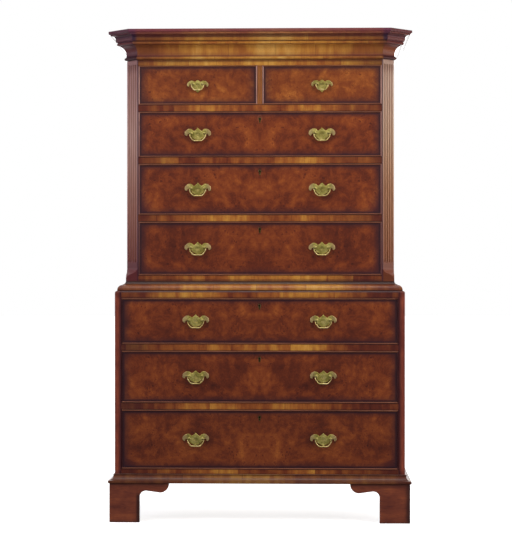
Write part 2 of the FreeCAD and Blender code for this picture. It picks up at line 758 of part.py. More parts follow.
def whole_plate(half, tip):
    """Mirror the right half of a plate outline, from the top peak round to the bottom tip."""
    verts = [tuple(v) for v in half] + [tuple(tip)]
    # the left half runs back from the tip to the peak
    left = []
    for i in range(len(half) - 1, -1, -1):
        v = half[i]
        start = verts[i + 1]
        if len(v) == 4:
            left.append((-start[0], start[1], -v[2], v[3]))
        else:
            left.append((-start[0], start[1]))
    left[0] = (0.0, tip[1]) + tuple(left[0][2:])
    return verts[:-1] + left


def backplate(name, half, tip, spacing):
    b = new_body(name)
    sk = sketch_on(b, name + "_outline", "XZ_Plane")
    outline(sk, whole_plate(half, tip))
    circle(sk, spacing, 0.0, S.shank_hole)
    circle(sk, -spacing, 0.0, S.shank_hole)
    pad(b, name + "_thickness", sk, S.plate_thick)
    return b


plate_large = backplate("backplate_large", LARGE_PLATE, LARGE_TIP, S.post_long)
plate_small = backplate("backplate_small", SMALL_PLATE, SMALL_TIP, S.post_short)

# Turned post: shank through the front, collar, neck and a round head bored across for the bail
handle_post = new_body("handle_post_body")
sk = sketch_on(handle_post, "handle_post_profile", "XY_Plane")
po, hr, sr = S.pin_out, S.head_radius, S.shank_radius
pt = S.plate_thick
outline(sk, [
    (0.0, S.front_thick + 3.6),
    (0.0, -(po + 4.6), 2.6, -(num(po) + 4.0)),
    (hr, -(po + 2.6)),
    (hr, -(po - 3.2), num(hr) - 0.55, -(num(po) - 4.1)),
    (2.7, -(po - 4.6)),
    (2.7, -(pt + 3.2), 3.5, -(num(pt) + 2.2)),
    (5.6, -(pt + 1.2)),
    (5.6, -pt),
    (sr, -pt),
    (sr, S.front_thick + 3.6),
])
f = handle_post.newObject("PartDesign::Revolution", "handle_post_turning")
f.Profile = sk
f.ReferenceAxis = (sk, ["V_Axis"])
f.Angle = 360.0
hole = sketch_on(handle_post, "handle_post_bore", "YZ_Plane")
circle(hole, -po, 0.0, S.pin_hole)
pocket(handle_post, "handle_post_bore_cut", hole)

# Square-cut nut behind the drawer front
post_nut = new_body("post_nut_body")
sk = sketch_on(post_nut, "post_nut_outline", "XZ_Plane")
outline(sk, rectangle(-5.0, 5.0, -5.0, 5.0))
circle(sk, 0.0, 0.0, sr)
pad(post_nut, "post_nut_thickness", sk, 3.0, back=True)


def handle_set(tag, plate, spacing):
    links = [plate]
    for side, x in (("r", spacing), ("l", -spacing)):
        links.append(group("post_%s_%s" % (tag, side), [handle_post], x, 0, 0))
        links.append(group("nut_%s_%s" % (tag, side), [post_nut], x, S.front_thick, 0))
    return group("handle_set_" + tag, links)


set_large = handle_set("large", plate_large, S.post_long)
set_small = handle_set("small", plate_small, S.post_short)


def rounded_path(points, radii):
    """Straight runs joined by tangent arcs: a list of ("line", a, b) and ("arc", a, mid, b)."""
    out = []
    here = V(*points[0])
    for i in range(1, len(points) - 1):
        p, a, b = V(*points[i]), V(*points[i - 1]), V(*points[i + 1])
        u, w = (a - p).normalize(), (b - p).normalize()
        turn_half = (math.pi - u.getAngle(w)) / 2.0
        back = radii[i - 1] * math.tan(turn_half)
        start, stop = p + u * back, p + w * back
        middle = (u + w).normalize()
        centre = p + middle * (radii[i - 1] / math.cos(turn_half))
        mid = centre - middle * radii[i - 1]
        out.append(("line", here, start))
        out.append(("arc", start, mid, stop))
        here = stop
    out.append(("line", here, V(*points[-1])))
    return out


def bail(name, spacing, drop, flat):
    """Bail hanging from a hinge axis at the local origin. The rod follows a filleted path in the
    XZ plane; the thinner pins at its ends run in the bores of the posts."""
    x_top = num(spacing) + num(S.head_radius) + num(S.rod_radius) + 0.35
    draw_in = drop * 0.095
    pts = [
        (x_top - num(S.rod_radius) - 0.1, 0.0), (x_top + 1.0, 0.0), (x_top - draw_in, -drop * 0.5), (flat + 4.5, -drop),
        (-flat - 4.5, -drop), (-x_top + draw_in, -drop * 0.5), (-x_top - 1.0, 0.0), (-x_top + num(S.rod_radius) + 0.1, 0.0),
    ]
    pts = [(p[0], p[1], 0.0) for p in pts]
    upper, lower = drop * 0.64, drop * 0.5
    radii = [2.15, upper, lower, lower, upper, 2.15]
    b = new_body(name)
    spine = sketch_on(b, name + "_path", "XZ_Plane")
    edges = rounded_path(pts, radii)
    for e in edges:
        if e[0] == "line":
            spine.addGeometry(Part.LineSegment(e[1], e[2]), False)
        else:
            ux, uy, r, a0, a1, ccw = three_point_arc((e[1].x, e[1].y), (e[2].x, e[2].y), (e[3].x, e[3].y))
            spine.addGeometry(Part.ArcOfCircle(Part.Circle(V(ux, uy, 0), V(0, 0, 1), r), a0, a1), False)
    section = sketch_on(b, name + "_section", "YZ_Plane", FreeCAD.Placement(V(0, 0, pts[0][0]), FreeCAD.Rotation()))
    circle(section, 0.0, 0.0, S.rod_radius)
    pipe = b.newObject("PartDesign::AdditivePipe", name + "_rod")
    pipe.Profile = section
    pipe.Spine = (spine, [])
    pipe.Mode = "Standard"
    pipe.Transition = "Transformed"
    pins = sketch_on(b, name + "_pin_section", "YZ_Plane", FreeCAD.Placement(V(0, 0, num(spacing) - 3.0), FreeCAD.Rotation()))
    circle(pins, 0.0, 0.0, S.pin_radius)
    pad(b, name + "_pin_right", pins, num(S.head_radius) + 4.4)
    pins = sketch_on(b, name + "_pin_section_left", "YZ_Plane", FreeCAD.Placement(V(0, 0, -num(spacing) + 3.0), FreeCAD.Rotation()))
    circle(pins, 0.0, 0.0, S.pin_radius)
    pad(b, name + "_pin_left", pins, num(S.head_radius) + 4.4, back=True)
    return b


bail_large = bail("bail_large_body", S.post_long, 27.5, 12.0)
bail_small = bail("bail_small_body", S.post_short, 22.0, 9.0)


def keyhole_outline(sk, radius, half_width, low):
    """Round head over a straight slot with a rounded foot."""
    drop = -math.sqrt(radius ** 2 - half_width ** 2)
    outline(sk, [
        (half_width, drop, 0.0, radius),
        (-half_width, drop),
        (-half_width, low + half_width, 0.0, low),
        (half_width, low + half_width),
    ])


escutcheon = new_body("escutcheon_body")
sk = sketch_on(escutcheon, "escutcheon_outline", "XZ_Plane")
keyhole_outline(sk, 5.4, 3.0, -14.6)
keyhole_outline(sk, 3.9, 1.6, -13.2)
pad(escutcheon, "escutcheon_depth", sk, 4.4, back=True)
place(escutcheon, 0, -0.4, 0)
recess = new_body("escutcheon_recess")
sk = sketch_on(recess, "escutcheon_recess_outline", "XZ_Plane")
keyhole_outline(sk, 5.4, 3.0, -14.6)
pad(recess, "escutcheon_recess_depth", sk, 5.0, back=True)
place(recess, 0, -1.0, 0)
passage = new_body("keyhole_passage")
sk = sketch_on(passage, "keyhole_passage_outline", "XZ_Plane")
keyhole_outline(sk, 3.9, 1.6, -13.2)
pad(passage, "keyhole_passage_depth", sk, S.front_thick, back=True)
lock_case = box("lock_case", (-30.0, 30.0), (S.front_thick - 9.0, S.front_thick), (-24.0, 21.0))
lock_pin = cylinder("lock_pin", 1.4, 9.5, (0, 3.5, 0), (0, 1, 0))

# ---------------------------------------------------------------------------------------------
# Drawers
# ---------------------------------------------------------------------------------------------

BEAD = [
    (0.0, -S.bead_deep),
    (S.bead_wide, -S.bead_deep),
    (S.bead_wide, S.bead_proud - 1.6, S.bead_wide / 2.0, S.bead_proud),
    (0.0, S.bead_proud - 1.6),
]


def bead_run(name, half):
    """Cockbead: local Z points out of the drawer, local -Y towards the drawer's edge."""
    return run(name, BEAD, half, S.bead_wide, 1.0, 1.0)


def drawer_parts(tag, wide, tall, front_y, handle_x, large, locked):
    """Solids of one drawer about its own origin: middle, face plane, underside."""
    half = wide / 2.0
    bw, bd, ft = S.bead_wide, S.bead_deep, S.front_thick
    block = new_body("front_block_" + tag)
    sk = sketch_on(block, "front_core_" + tag, "XZ_Plane", FreeCAD.Placement(V(0, 0, -num(bd)), FreeCAD.Rotation()))
    sk.setExpression("AttachmentOffset.Base.z", (-bd).text)
    outline(sk, rectangle(-half, half, 0.0, tall))
    pad(block, "front_core_pad_" + tag, sk, ft - bd, back=True)
    sk = sketch_on(block, "front_field_" + tag, "XZ_Plane")
    outline(sk, rectangle(-half + bw, half - bw, bw, tall - bw))
    pad(block, "front_field_pad_" + tag, sk, bd, back=True)

    # side board with dovetails that enter the back of the front
    side = new_body("side_board_" + tag)
    sk = sketch_on(side, "side_outline_" + tag, "YZ_Plane", FreeCAD.Placement(V(0, 0, num(half - S.lining)), FreeCAD.Rotation()))
    sk.setExpression("AttachmentOffset.Base.z", (half - S.lining).text)
    rear_y = S.drawer_back - front_y
    top_z = tall - S.side_drop
    count = max(2, int(round(num(top_z) / 46.0)))
    pitch = top_z / float(count)
    verts = [(rear_y, 0.0), (rear_y, top_z), (ft, top_z)]
    for i in range(count - 1, -1, -1):
        mid = pitch * (i + 0.5)
        verts += [
            (ft, mid + pitch * 0.27),
            (ft - S.tail_long, mid + pitch * 0.36),
            (ft - S.tail_long, mid - pitch * 0.36),
            (ft, mid - pitch * 0.27),
        ]
    verts.append((ft, 0.0))
    outline(sk, verts)
    pad(side, "side_thickness_" + tag, sk, S.lining)
    side_r = group("side_r_" + tag, [side])
    side_l = group("side_l_" + tag, [side], -(wide - S.lining), 0, 0)
    inner_half = half - S.lining
    floor_z = S.bottom_lift + S.bottom_thick
    back = box("back_board_" + tag, (-inner_half, inner_half), (rear_y - S.lining, rear_y), (floor_z, tall - S.back_drop))
    bottom = box("bottom_board_" + tag, (-inner_half, inner_half), (ft, rear_y), (S.bottom_lift, floor_z))

    tools = [side_r, side_l]
    mid_z = tall / 2.0 + S.handle_rise
    spacing = S.post_long if large else S.post_short
    for n, hx in enumerate(handle_x):
        for m, px in enumerate((hx - spacing, hx + spacing)):
            c = cylinder("post_hole_%s_%d_%d" % (tag, n, m), S.shank_hole, ft + 2.0, (px, -1.0, mid_z), (0, 1, 0))
            tools.append(c)
    brass = []
    for n, hx in enumerate(handle_x):
        brass.append(group("handle_%s_%d" % (tag, n), [set_large if large else set_small], hx, 0, mid_z))
    if locked:
        key_z = tall - S.keyhole_drop
        tools.append(group("lock_mortise_" + tag, [lock_case], 0, 0, key_z))
        tools.append(group("key_recess_" + tag, [recess], 0, 0, key_z))
        tools.append(group("key_passage_" + tag, [passage], 0, 0, key_z))
        brass.append(group("lock_set_" + tag, [lock_case, lock_pin, escutcheon], 0, 0, key_z))
    front = block
    for i, tool in enumerate(tools):
        front = cut("front_cut_%s_%d" % (tag, i), front, tool)

    beads = []
    h1, v1 = half - bw, tall / 2.0 - bw
    b_h = bead_run("bead_long_" + tag, h1)
    b_v = bead_run("bead_short_" + tag, v1)
    beads.append(group("bead_top_" + tag, [b_h], 0, 0, tall - bw, axes((-1, 0, 0), (0, 0, -1), (0, -1, 0))))
    beads.append(group("bead_bottom_" + tag, [b_h], 0, 0, bw, axes((1, 0, 0), (0, 0, 1), (0, -1, 0))))
    beads.append(group("bead_right_" + tag, [b_v], h1, 0, tall / 2.0, axes((0, 0, 1), (-1, 0, 0), (0, -1, 0))))
    beads.append(group("bead_left_" + tag, [b_v], -h1, 0, tall / 2.0, axes((0, 0, -1), (1, 0, 0), (0, -1, 0))))
    return [front] + beads, [side_r, side_l, back, bottom], brass, mid_z


gap, lift = S.drawer_gap, S.drawer_lift
U_FACE = UF + S.face_recess
L_FACE = LF + S.face_recess


def drawer(names, tag, low, high, wide, front_y, centres, handle_x, bails, large, locked):
    tall = high - low - lift - gap
    front, body, brass, mid_z = drawer_parts(tag, wide, tall, front_y, handle_x, large, locked)
    for name, cx in zip(names, centres):
        z = low + lift
        node(name + "_front", group("front_" + name, front, cx, front_y, z), name)
        node(name + "_box", group("box_" + name, body, cx, front_y, z), name)
        node(name + "_brasses", group("brasses_" + name, brass, cx, front_y, z), name)
        for suffix, hx in zip(bails, handle_x):
            source = bail_large if large else bail_small
            node(name + suffix, group("bail_of_" + name + suffix, [source], cx + hx, front_y - S.pin_out, z + mid_z), name + suffix)


short_wide = S.post_inner - S.divider_half - gap * 2.0
short_mid = (S.post_inner + S.divider_half) / 2.0
drawer(("short_drawer_left", "short_drawer_right"), "one", S.row_one_low, S.frieze_low, short_wide, U_FACE,
       (-short_mid, short_mid), (0.0,), ("_bail",), False, False)
long_wide = S.post_inner * 2.0 - gap * 2.0
hu, hl = S.handle_upper, S.handle_lower
pair = ("_bail_left", "_bail_right")
drawer(("upper_drawer_top",), "two", S.row_two_low, S.row_two_high, long_wide, U_FACE, (0.0,), (-hu, hu), pair, True, True)
drawer(("upper_drawer_middle",), "three", S.row_three_low, S.row_three_high, long_wide, U_FACE, (0.0,), (-hu, hu), pair, True, True)
drawer(("upper_drawer_bottom",), "four", S.row_four_low, S.row_four_high, long_wide, U_FACE, (0.0,), (-hu, hu), pair, True, True)
low_wide = l_in * 2.0 - gap * 2.0
drawer(("lower_drawer_top",), "five", S.row_five_low, S.row_five_high, low_wide, L_FACE, (0.0,), (-hl, hl), pair, True, True)
drawer(("lower_drawer_middle",), "six", S.row_six_low, S.row_six_high, low_wide, L_FACE, (0.0,), (-hl, hl), pair, True, True)
drawer(("lower_drawer_bottom",), "seven", S.row_seven_low, S.row_seven_high, low_wide, L_FACE, (0.0,), (-hl, hl), pair, True, True)

# ---------------------------------------------------------------------------------------------
# Check and write
# ---------------------------------------------------------------------------------------------

doc.recompute()
faults = []
for o in doc.Objects:
    if "Invalid" in o.State or "Error" in o.State:
        faults.append("%s (%s) is in state %s" % (o.Name, o.Label, o.State))
for name, obj in NODES:
    shape = obj.Shape
    if shape.isNull() or not shape.isValid():
        faults.append("%s has no valid shape" % name)
        continue
    for solid in shape.Solids:
        if solid.Volume < 1.0:
            faults.append("%s has a solid of %.3f cubic mm" % (name, solid.Volume))
if len(set(n for n, o in NODES)) != len(NODES) or len(NODES) > 60:
    faults.append("%d sub-parts, with names repeated or too many" % len(NODES))
if faults:
    raise RuntimeError("; ".join(faults[:12]))

os.makedirs("parts", exist_ok=True)
for name, obj in NODES:
    obj.Shape.exportStep(os.path.join("parts", name + ".step"))
    bb = obj.Shape.BoundBox
    print("%-30s %2d solids %12.0f mm3  X %.1f %.1f  Y %.1f %.1f  Z %.1f %.1f" % (
        name, len(obj.Shape.Solids), obj.Shape.Volume, bb.XMin, bb.XMax, bb.YMin, bb.YMax, bb.ZMin, bb.ZMax))
print(len(NODES), "sub-parts")
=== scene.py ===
import math

import bmesh
import bpy
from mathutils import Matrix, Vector
from mathutils.geometry import tessellate_polygon


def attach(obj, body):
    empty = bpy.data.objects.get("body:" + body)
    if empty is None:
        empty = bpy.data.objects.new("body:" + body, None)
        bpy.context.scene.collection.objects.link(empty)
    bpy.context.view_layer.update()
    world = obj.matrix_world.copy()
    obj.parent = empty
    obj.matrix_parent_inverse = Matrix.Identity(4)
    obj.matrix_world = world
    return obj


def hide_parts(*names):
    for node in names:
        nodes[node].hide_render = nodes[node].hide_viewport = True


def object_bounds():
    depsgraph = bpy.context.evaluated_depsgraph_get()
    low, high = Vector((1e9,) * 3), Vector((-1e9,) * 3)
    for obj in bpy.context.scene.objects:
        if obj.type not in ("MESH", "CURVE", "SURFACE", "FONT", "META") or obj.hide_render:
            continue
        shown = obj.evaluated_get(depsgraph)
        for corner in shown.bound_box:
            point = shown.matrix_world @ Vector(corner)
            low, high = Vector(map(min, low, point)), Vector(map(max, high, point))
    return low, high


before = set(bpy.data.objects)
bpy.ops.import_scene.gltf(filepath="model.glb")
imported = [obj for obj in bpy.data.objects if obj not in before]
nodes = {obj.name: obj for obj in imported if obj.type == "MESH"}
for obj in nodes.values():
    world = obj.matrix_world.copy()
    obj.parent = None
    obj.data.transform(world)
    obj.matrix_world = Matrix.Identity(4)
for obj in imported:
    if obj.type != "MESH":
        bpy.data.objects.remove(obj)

cad_low, cad_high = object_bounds()

# ---------------------------------------------------------------------------------------------
# Sizes shared with the construction, in metres
# ---------------------------------------------------------------------------------------------
UP_FRONT, LOW_FRONT = -0.204, -0.241
UP_FACE, LOW_FACE = -0.203, -0.240
BACK = 0.270
# drawer: low, high, half width, centre x, face y, handles' x, large handles
DRAWERS = {
    "short_drawer_left": (1.5295, 1.6715, 0.21783, -0.228175, UP_FACE, (-0.228175,), False),
    "short_drawer_right": (1.5295, 1.6715, 0.21783, 0.228175, UP_FACE, (0.228175,), False),
    "upper_drawer_top": (1.3375, 1.502, 0.446, 0.0, UP_FACE, (-0.228, 0.228), True),
    "upper_drawer_middle": (1.125, 1.310, 0.446, 0.0, UP_FACE, (-0.228, 0.228), True),
    "upper_drawer_bottom": (0.903, 1.0975, 0.446, 0.0, UP_FACE, (-0.228, 0.228), True),
    "lower_drawer_top": (0.6515, 0.817, 0.505, 0.0, LOW_FACE, (-0.233, 0.233), True),
    "lower_drawer_middle": (0.4365, 0.6245, 0.505, 0.0, LOW_FACE, (-0.233, 0.233), True),
    "lower_drawer_bottom": (0.1945, 0.4095, 0.505, 0.0, LOW_FACE, (-0.233, 0.233), True),
}


def lin(*c):
    """sRGB 0-255 to linear RGBA."""
    out = []
    for v in c:
        v = v / 255.0
        out.append(v / 12.92 if v <= 0.04045 else ((v + 0.055) / 1.055) ** 2.4)
    return (*out, 1.0)


# ---------------------------------------------------------------------------------------------
# Node trees
# ---------------------------------------------------------------------------------------------
class Paint:
    """A material with one Principled shader and short calls for its nodes."""

    def __init__(self, name, rough=0.4, metal=0.0, coat=0.0, coat_rough=0.2, spec=0.5, ior=1.5):
        self.mat = bpy.data.materials.new(name)
        self.mat.use_nodes = True
        self.t = self.mat.node_tree
        self.t.nodes.clear()
        out = self.t.nodes.new("ShaderNodeOutputMaterial")
        self.b = self.t.nodes.new("ShaderNodeBsdfPrincipled")
        self.t.links.new(self.b.outputs[0], out.inputs["Surface"])
        for key, value in (("Roughness", rough), ("Metallic", metal), ("Coat Weight", coat),
                           ("Coat Roughness", coat_rough), ("Specular IOR Level", spec), ("IOR", ior)):
            self.b.inputs[key].default_value = value
        self.P = self.t.nodes.new("ShaderNodeTexCoord").outputs["Object"]
        sep = self.t.nodes.new("ShaderNodeSeparateXYZ")
        self.t.links.new(self.P, sep.inputs[0])
        self.x, self.y, self.z = sep.outputs

    def put(self, socket, value):
        if isinstance(value, bpy.types.NodeSocket):
            self.t.links.new(value, socket)
        else:
            socket.default_value = value

    def math(self, op, a, b=None, c=None, clamp=False):
        n = self.t.nodes.new("ShaderNodeMath")
        n.operation, n.use_clamp = op, clamp
        self.put(n.inputs[0], a)
        if b is not None:
            self.put(n.inputs[1], b)
        if c is not None:
            self.put(n.inputs[2], c)
        return n.outputs[0]

    def add(self, a, b, clamp=False):
        return self.math("ADD", a, b, clamp=clamp)

    def sub(self, a, b, clamp=False):
        return self.math("SUBTRACT", a, b, clamp=clamp)

    def mul(self, a, b, clamp=False):
        return self.math("MULTIPLY", a, b, clamp=clamp)

    def absolute(self, a):
        return self.math("ABSOLUTE", a)

    def total(self, *pairs):
        """Sum of value times weight."""
        out = None
        for v, w in pairs:
            out = self.math("MULTIPLY_ADD", v, w, 0.0 if out is None else out)
        return out

    def vec(self, x, y, z):
        n = self.t.nodes.new("ShaderNodeCombineXYZ")
        for s, v in zip(n.inputs, (x, y, z)):
            self.put(s, v)
        return n.outputs[0]

    def vmath(self, op, a, b=None, scale=None):
        n = self.t.nodes.new("ShaderNodeVectorMath")
        n.operation = op
        self.put(n.inputs[0], a)
        if b is not None:
            self.put(n.inputs[1], b)
        if scale is not None:
            self.put(n.inputs["Scale"], scale)
        return n.outputs[0]

    def noise(self, vector, scale, detail=3.0, rough=0.5, dist=0.0, out="Fac"):
        n = self.t.nodes.new("ShaderNodeTexNoise")
        n.noise_dimensions = "3D"
        self.put(n.inputs["Vector"], vector)
        for key, value in (("Scale", scale), ("Detail", detail), ("Roughness", rough), ("Distortion", dist)):
            n.inputs[key].default_value = value
        return n.outputs[0] if out == "Fac" else n.outputs[1]

    def voronoi(self, vector, scale, feature="F1", rand=1.0, out="Distance", smooth=None):
        n = self.t.nodes.new("ShaderNodeTexVoronoi")
        n.voronoi_dimensions, n.feature = "3D", feature
        self.put(n.inputs["Vector"], vector)
        n.inputs["Scale"].default_value = scale
        n.inputs["Randomness"].default_value = rand
        return n.outputs[out]

    def blocks(self, w, feature="F1", out="Color", rand=0.85):
        n = self.t.nodes.new("ShaderNodeTexVoronoi")
        n.voronoi_dimensions, n.feature = "1D", feature
        self.put(n.inputs["W"], w)
        n.inputs["Scale"].default_value = 1.0
        n.inputs["Randomness"].default_value = rand
        return n.outputs[out]

    def red(self, colour):
        n = self.t.nodes.new("ShaderNodeSeparateColor")
        self.put(n.inputs[0], colour)
        return n.outputs[0]

    def green(self, colour):
        n = self.t.nodes.new("ShaderNodeSeparateColor")
        self.put(n.inputs[0], colour)
        return n.outputs[1]

    def remap(self, v, a, b, c=0.0, d=1.0, smooth=True):
        n = self.t.nodes.new("ShaderNodeMapRange")
        n.interpolation_type = "SMOOTHSTEP" if smooth else "LINEAR"
        n.clamp = True
        for i, value in enumerate((v, a, b, c, d)):
            self.put(n.inputs[i], value)
        return n.outputs[0]

    def ramp(self, fac, stops):
        n = self.t.nodes.new("ShaderNodeValToRGB")
        r = n.color_ramp
        while len(r.elements) < len(stops):
            r.elements.new(0.5)
        for e, (pos, col) in zip(r.elements, stops):
            e.position, e.color = pos, col
        self.put(n.inputs[0], fac)
        return n.outputs[0]

    def mix(self, fac, a, b, blend="MIX"):
        n = self.t.nodes.new("ShaderNodeMix")
        n.data_type, n.blend_type = "RGBA", blend
        self.put(n.inputs["Factor"], fac)
        for s, v in ((n.inputs[6], a), (n.inputs[7], b)):
            self.put(s, v)
        return n.outputs[2]

    def bump(self, height, strength=0.3, distance=0.001, normal=None):
        n = self.t.nodes.new("ShaderNodeBump")
        n.inputs["Strength"].default_value = strength
        n.inputs["Distance"].default_value = distance
        self.put(n.inputs["Height"], height)
        if normal is not None:
            self.put(n.inputs["Normal"], normal)
        return n.outputs[0]

    def done(self, colour, rough=None, normal=None):
        self.put(self.b.inputs["Base Color"], colour)
        if rough is not None:
            self.put(self.b.inputs["Roughness"], rough)
        if normal is not None:
            self.put(self.b.inputs["Normal"], normal)
            self.put(self.b.inputs["Coat Normal"], normal)
        return self.mat


COAT, COAT_ROUGH, ROUGH, SPEC = 0.10, 0.22, 0.44, 0.34

# ---------------------------------------------------------------------------------------------
# Timbers
# ---------------------------------------------------------------------------------------------
BURR = [
    (0.00, lin(40, 15, 12)),
    (0.22, lin(68, 26, 15)),
    (0.45, lin(98, 41, 18)),
    (0.66, lin(127, 60, 23)),
    (0.84, lin(152, 82, 31)),
    (1.00, lin(180, 110, 48)),
]
STAIN = lin(50, 19, 26)
# painted shade colour for the crevice just inside the cockbeads
BEAD_EDGE_SHADE_COLOUR = lin(38, 13, 24)
BAND = [
    (0.00, lin(72, 27, 17)),
    (0.25, lin(108, 47, 22)),
    (0.50, lin(150, 84, 33)),
    (0.75, lin(188, 130, 50)),
    (1.00, lin(212, 164, 82)),
]


def secondary(p, along="x"):
    """Plain straight-grained wood for parts behind the show surface."""
    stretch = {"x": (3.0, 60.0, 60.0), "y": (60.0, 3.0, 60.0), "z": (60.0, 60.0, 3.0)}[along]
    q = p.vmath("MULTIPLY", p.P, stretch)
    f = p.noise(q, 1.0, 4.0, 0.55, 0.6)
    return p.ramp(p.remap(f, 0.25, 0.75), [(0.0, lin(112, 72, 40)), (0.5, lin(142, 98, 58)), (1.0, lin(166, 122, 78))])


def burr(name, drawer, seed, lift=0.0, tint=(1.0, 1.0, 1.0), eyes=1.0, diamond=0.0, keyhole_dark=0.45, worn=0.0, corners=0.0,
         cloud=0.22):
    """Burr walnut laid as mirrored leaves, with a stained edge and, just inside the cockbeads, a line of painted shade.
    """
    low, high, half, cx, face, hx, handles = DRAWERS[drawer]
    p = Paint(name, ROUGH, coat=COAT, coat_rough=COAT_ROUGH, spec=SPEC)
    u = p.absolute(p.x)
    q = p.vec(p.add(u, seed * 1.37), seed * 0.71, p.add(p.z, seed * 0.53))
    big = p.vmath("SUBTRACT", p.noise(q, 6.0, 2.0, 0.5, out="Color"), (0.5, 0.5, 0.5))
    q1 = p.vmath("ADD", q, p.vmath("SCALE", big, scale=0.07))
    mid = p.vmath("SUBTRACT", p.noise(q1, 21.0, 3.0, 0.55, out="Color"), (0.5, 0.5, 0.5))
    q2 = p.vmath("ADD", q1, p.vmath("SCALE", mid, scale=0.032))
    clouds = p.remap(p.noise(q1, 8.5, 3.0, 0.6), 0.34, 0.66, smooth=False)
    patches = p.remap(p.noise(q2, 32.0, 5.0, 0.65), 0.33, 0.67, smooth=False)
    swirl = p.noise(q2, 11.0, 4.0, 0.55)
    lines = p.math("SINE", p.mul(swirl, 150.0))
    lines2 = p.math("SINE", p.mul(swirl, 430.0))
    fine = p.noise(q2, 190.0, 3.0, 0.65)
    pores = p.noise(p.vmath("MULTIPLY", q2, (1.0, 1.0, 0.45)), 900.0, 2.0, 0.6)
    dots = p.voronoi(q2, 62.0, rand=1.0)
    where = p.remap(p.noise(q1, 13.0, 2.0, 0.5), 0.46, 0.60)
    eye = p.mul(p.remap(dots, 0.10, 0.30, 1.0, 0.0), where)
    ring = p.mul(p.remap(p.absolute(p.sub(dots, 0.36)), 0.0, 0.10, 1.0, 0.0), where)
    middle = p.remap(p.absolute(p.sub(p.x, cx)), 0.0, half * 0.9, 0.02, -0.01)
    upright = p.noise(p.vmath("MULTIPLY", q2, (1.0, 1.0, 0.22)), 46.0, 3.0, 0.6)
    tone = p.total((clouds, cloud), (patches, 0.30), (lines, 0.022), (lines2, 0.016), (fine, 0.34), (upright, 0.20),
                   (eye, -0.20 * eyes), (ring, 0.07 * eyes), (middle, 1.0), (1.0, -0.04 + lift))
    if diamond:
        # the leaves meet in a pair of paler lobes at the middle of the front
        mz = (low + high) / 2.0
        du = p.sub(u, 0.026)
        dz = p.mul(p.sub(p.z, mz - 0.002), 0.72)
        d = p.math("SQRT", p.add(p.mul(du, du), p.mul(dz, dz)))
        d = p.add(d, p.mul(p.sub(p.noise(q, 26.0, 2.0), 0.5), 0.03))
        tone = p.add(tone, p.remap(d, 0.018, 0.042, diamond, 0.0))
    tone = p.math("ADD", tone, 0.0, clamp=True)
    colour = p.ramp(tone, BURR)
    colour = p.mix(p.remap(pores, 0.56, 0.72, 0.0, 0.55), colour, lin(34, 14, 12))
    colour = p.mix(1.0, colour, (*tint, 1.0), "MULTIPLY")
    # stain: deepest in the corners; the hard dark line beside the bead that follows is painted shade
    wob = p.mul(p.sub(p.noise(q, 17.0, 3.0), 0.5), 0.016)
    dx = p.add(p.sub(half, p.absolute(p.sub(p.x, cx))), wob)
    dt = p.add(p.sub(high, p.z), wob)
    db = p.add(p.sub(p.z, low), wob)
    ex = p.remap(dx, -0.004, 0.046)
    ez = p.mul(p.remap(dt, -0.006, 0.030), p.remap(db, -0.006, 0.034))
    stain = p.sub(1.0, p.mul(ex, ez))
    colour = p.mix(p.mul(stain, 0.86), colour, STAIN)
    if corners:
        dc = p.math("SQRT", p.add(p.mul(dx, dx), p.mul(db, db)))
        colour = p.mix(p.remap(dc, 0.012, 0.085, corners, 0.0), colour, lin(54, 19, 32))
    # painted shade: a hard dark line just inside the cockbeads, stronger on the lower case
    edge = p.math("MINIMUM", p.sub(half, p.absolute(p.sub(p.x, cx))), p.math("MINIMUM", p.sub(high, p.z), p.sub(p.z, low)))
    dirt = 0.58 if low > 0.86 else 0.74
    bead_edge_shade = p.mul(p.remap(edge, 0.0040, 0.0070, 0.72 * dirt, dirt), p.remap(edge, 0.0075, 0.0140, 1.0, 0.0))
    colour = p.mix(bead_edge_shade, colour, BEAD_EDGE_SHADE_COLOUR)
    # painted shadow round the handles; the wood is also darker round the keyhole
    gx = p.sub(u, abs(hx[0])) if len(hx) > 1 else p.sub(p.x, hx[0])
    k = 1.0 if len(hx) > 1 else 0.80
    gx, gz = p.mul(gx, 1.0 / (0.047 * k)), p.mul(p.sub(p.z, (low + high) / 2.0 - 0.0015), 1.0 / (0.027 * k))
    near = p.math("SQRT", p.add(p.mul(gx, gx), p.mul(gz, gz)))
    colour = p.mix(p.remap(near, 0.90, 1.50, 0.34, 0.0), colour, lin(58, 24, 10))
    if handles:
        kx, kz = p.sub(p.x, cx), p.mul(p.sub(p.z, high - 0.0235), 0.75)
        reach = p.math("SQRT", p.add(p.mul(kx, kx), p.mul(kz, kz)))
        colour = p.mix(p.remap(reach, 0.0030, 0.0100, keyhole_dark, 0.0), colour, lin(52, 26, 20))
        if worn:
            ring = p.remap(p.absolute(p.sub(reach, 0.0075)), 0.0, 0.0045, worn, 0.0)
            colour = p.mix(ring, colour, lin(140, 92, 72))
    back = p.remap(p.y, face + 0.0010, face + 0.0013, smooth=False)
    colour = p.mix(back, colour, secondary(p, "x"))
    rough = p.total((fine, 0.10), (stain, 0.10), (1.0, 0.34))
    height = p.total((pores, 0.5), (p.noise(q, 36.0, 2.0), 1.4), (fine, 0.3))
    return p.done(colour, rough, p.bump(height, 0.16, 0.0006))


CORNICE_TOP = cad_high[2]


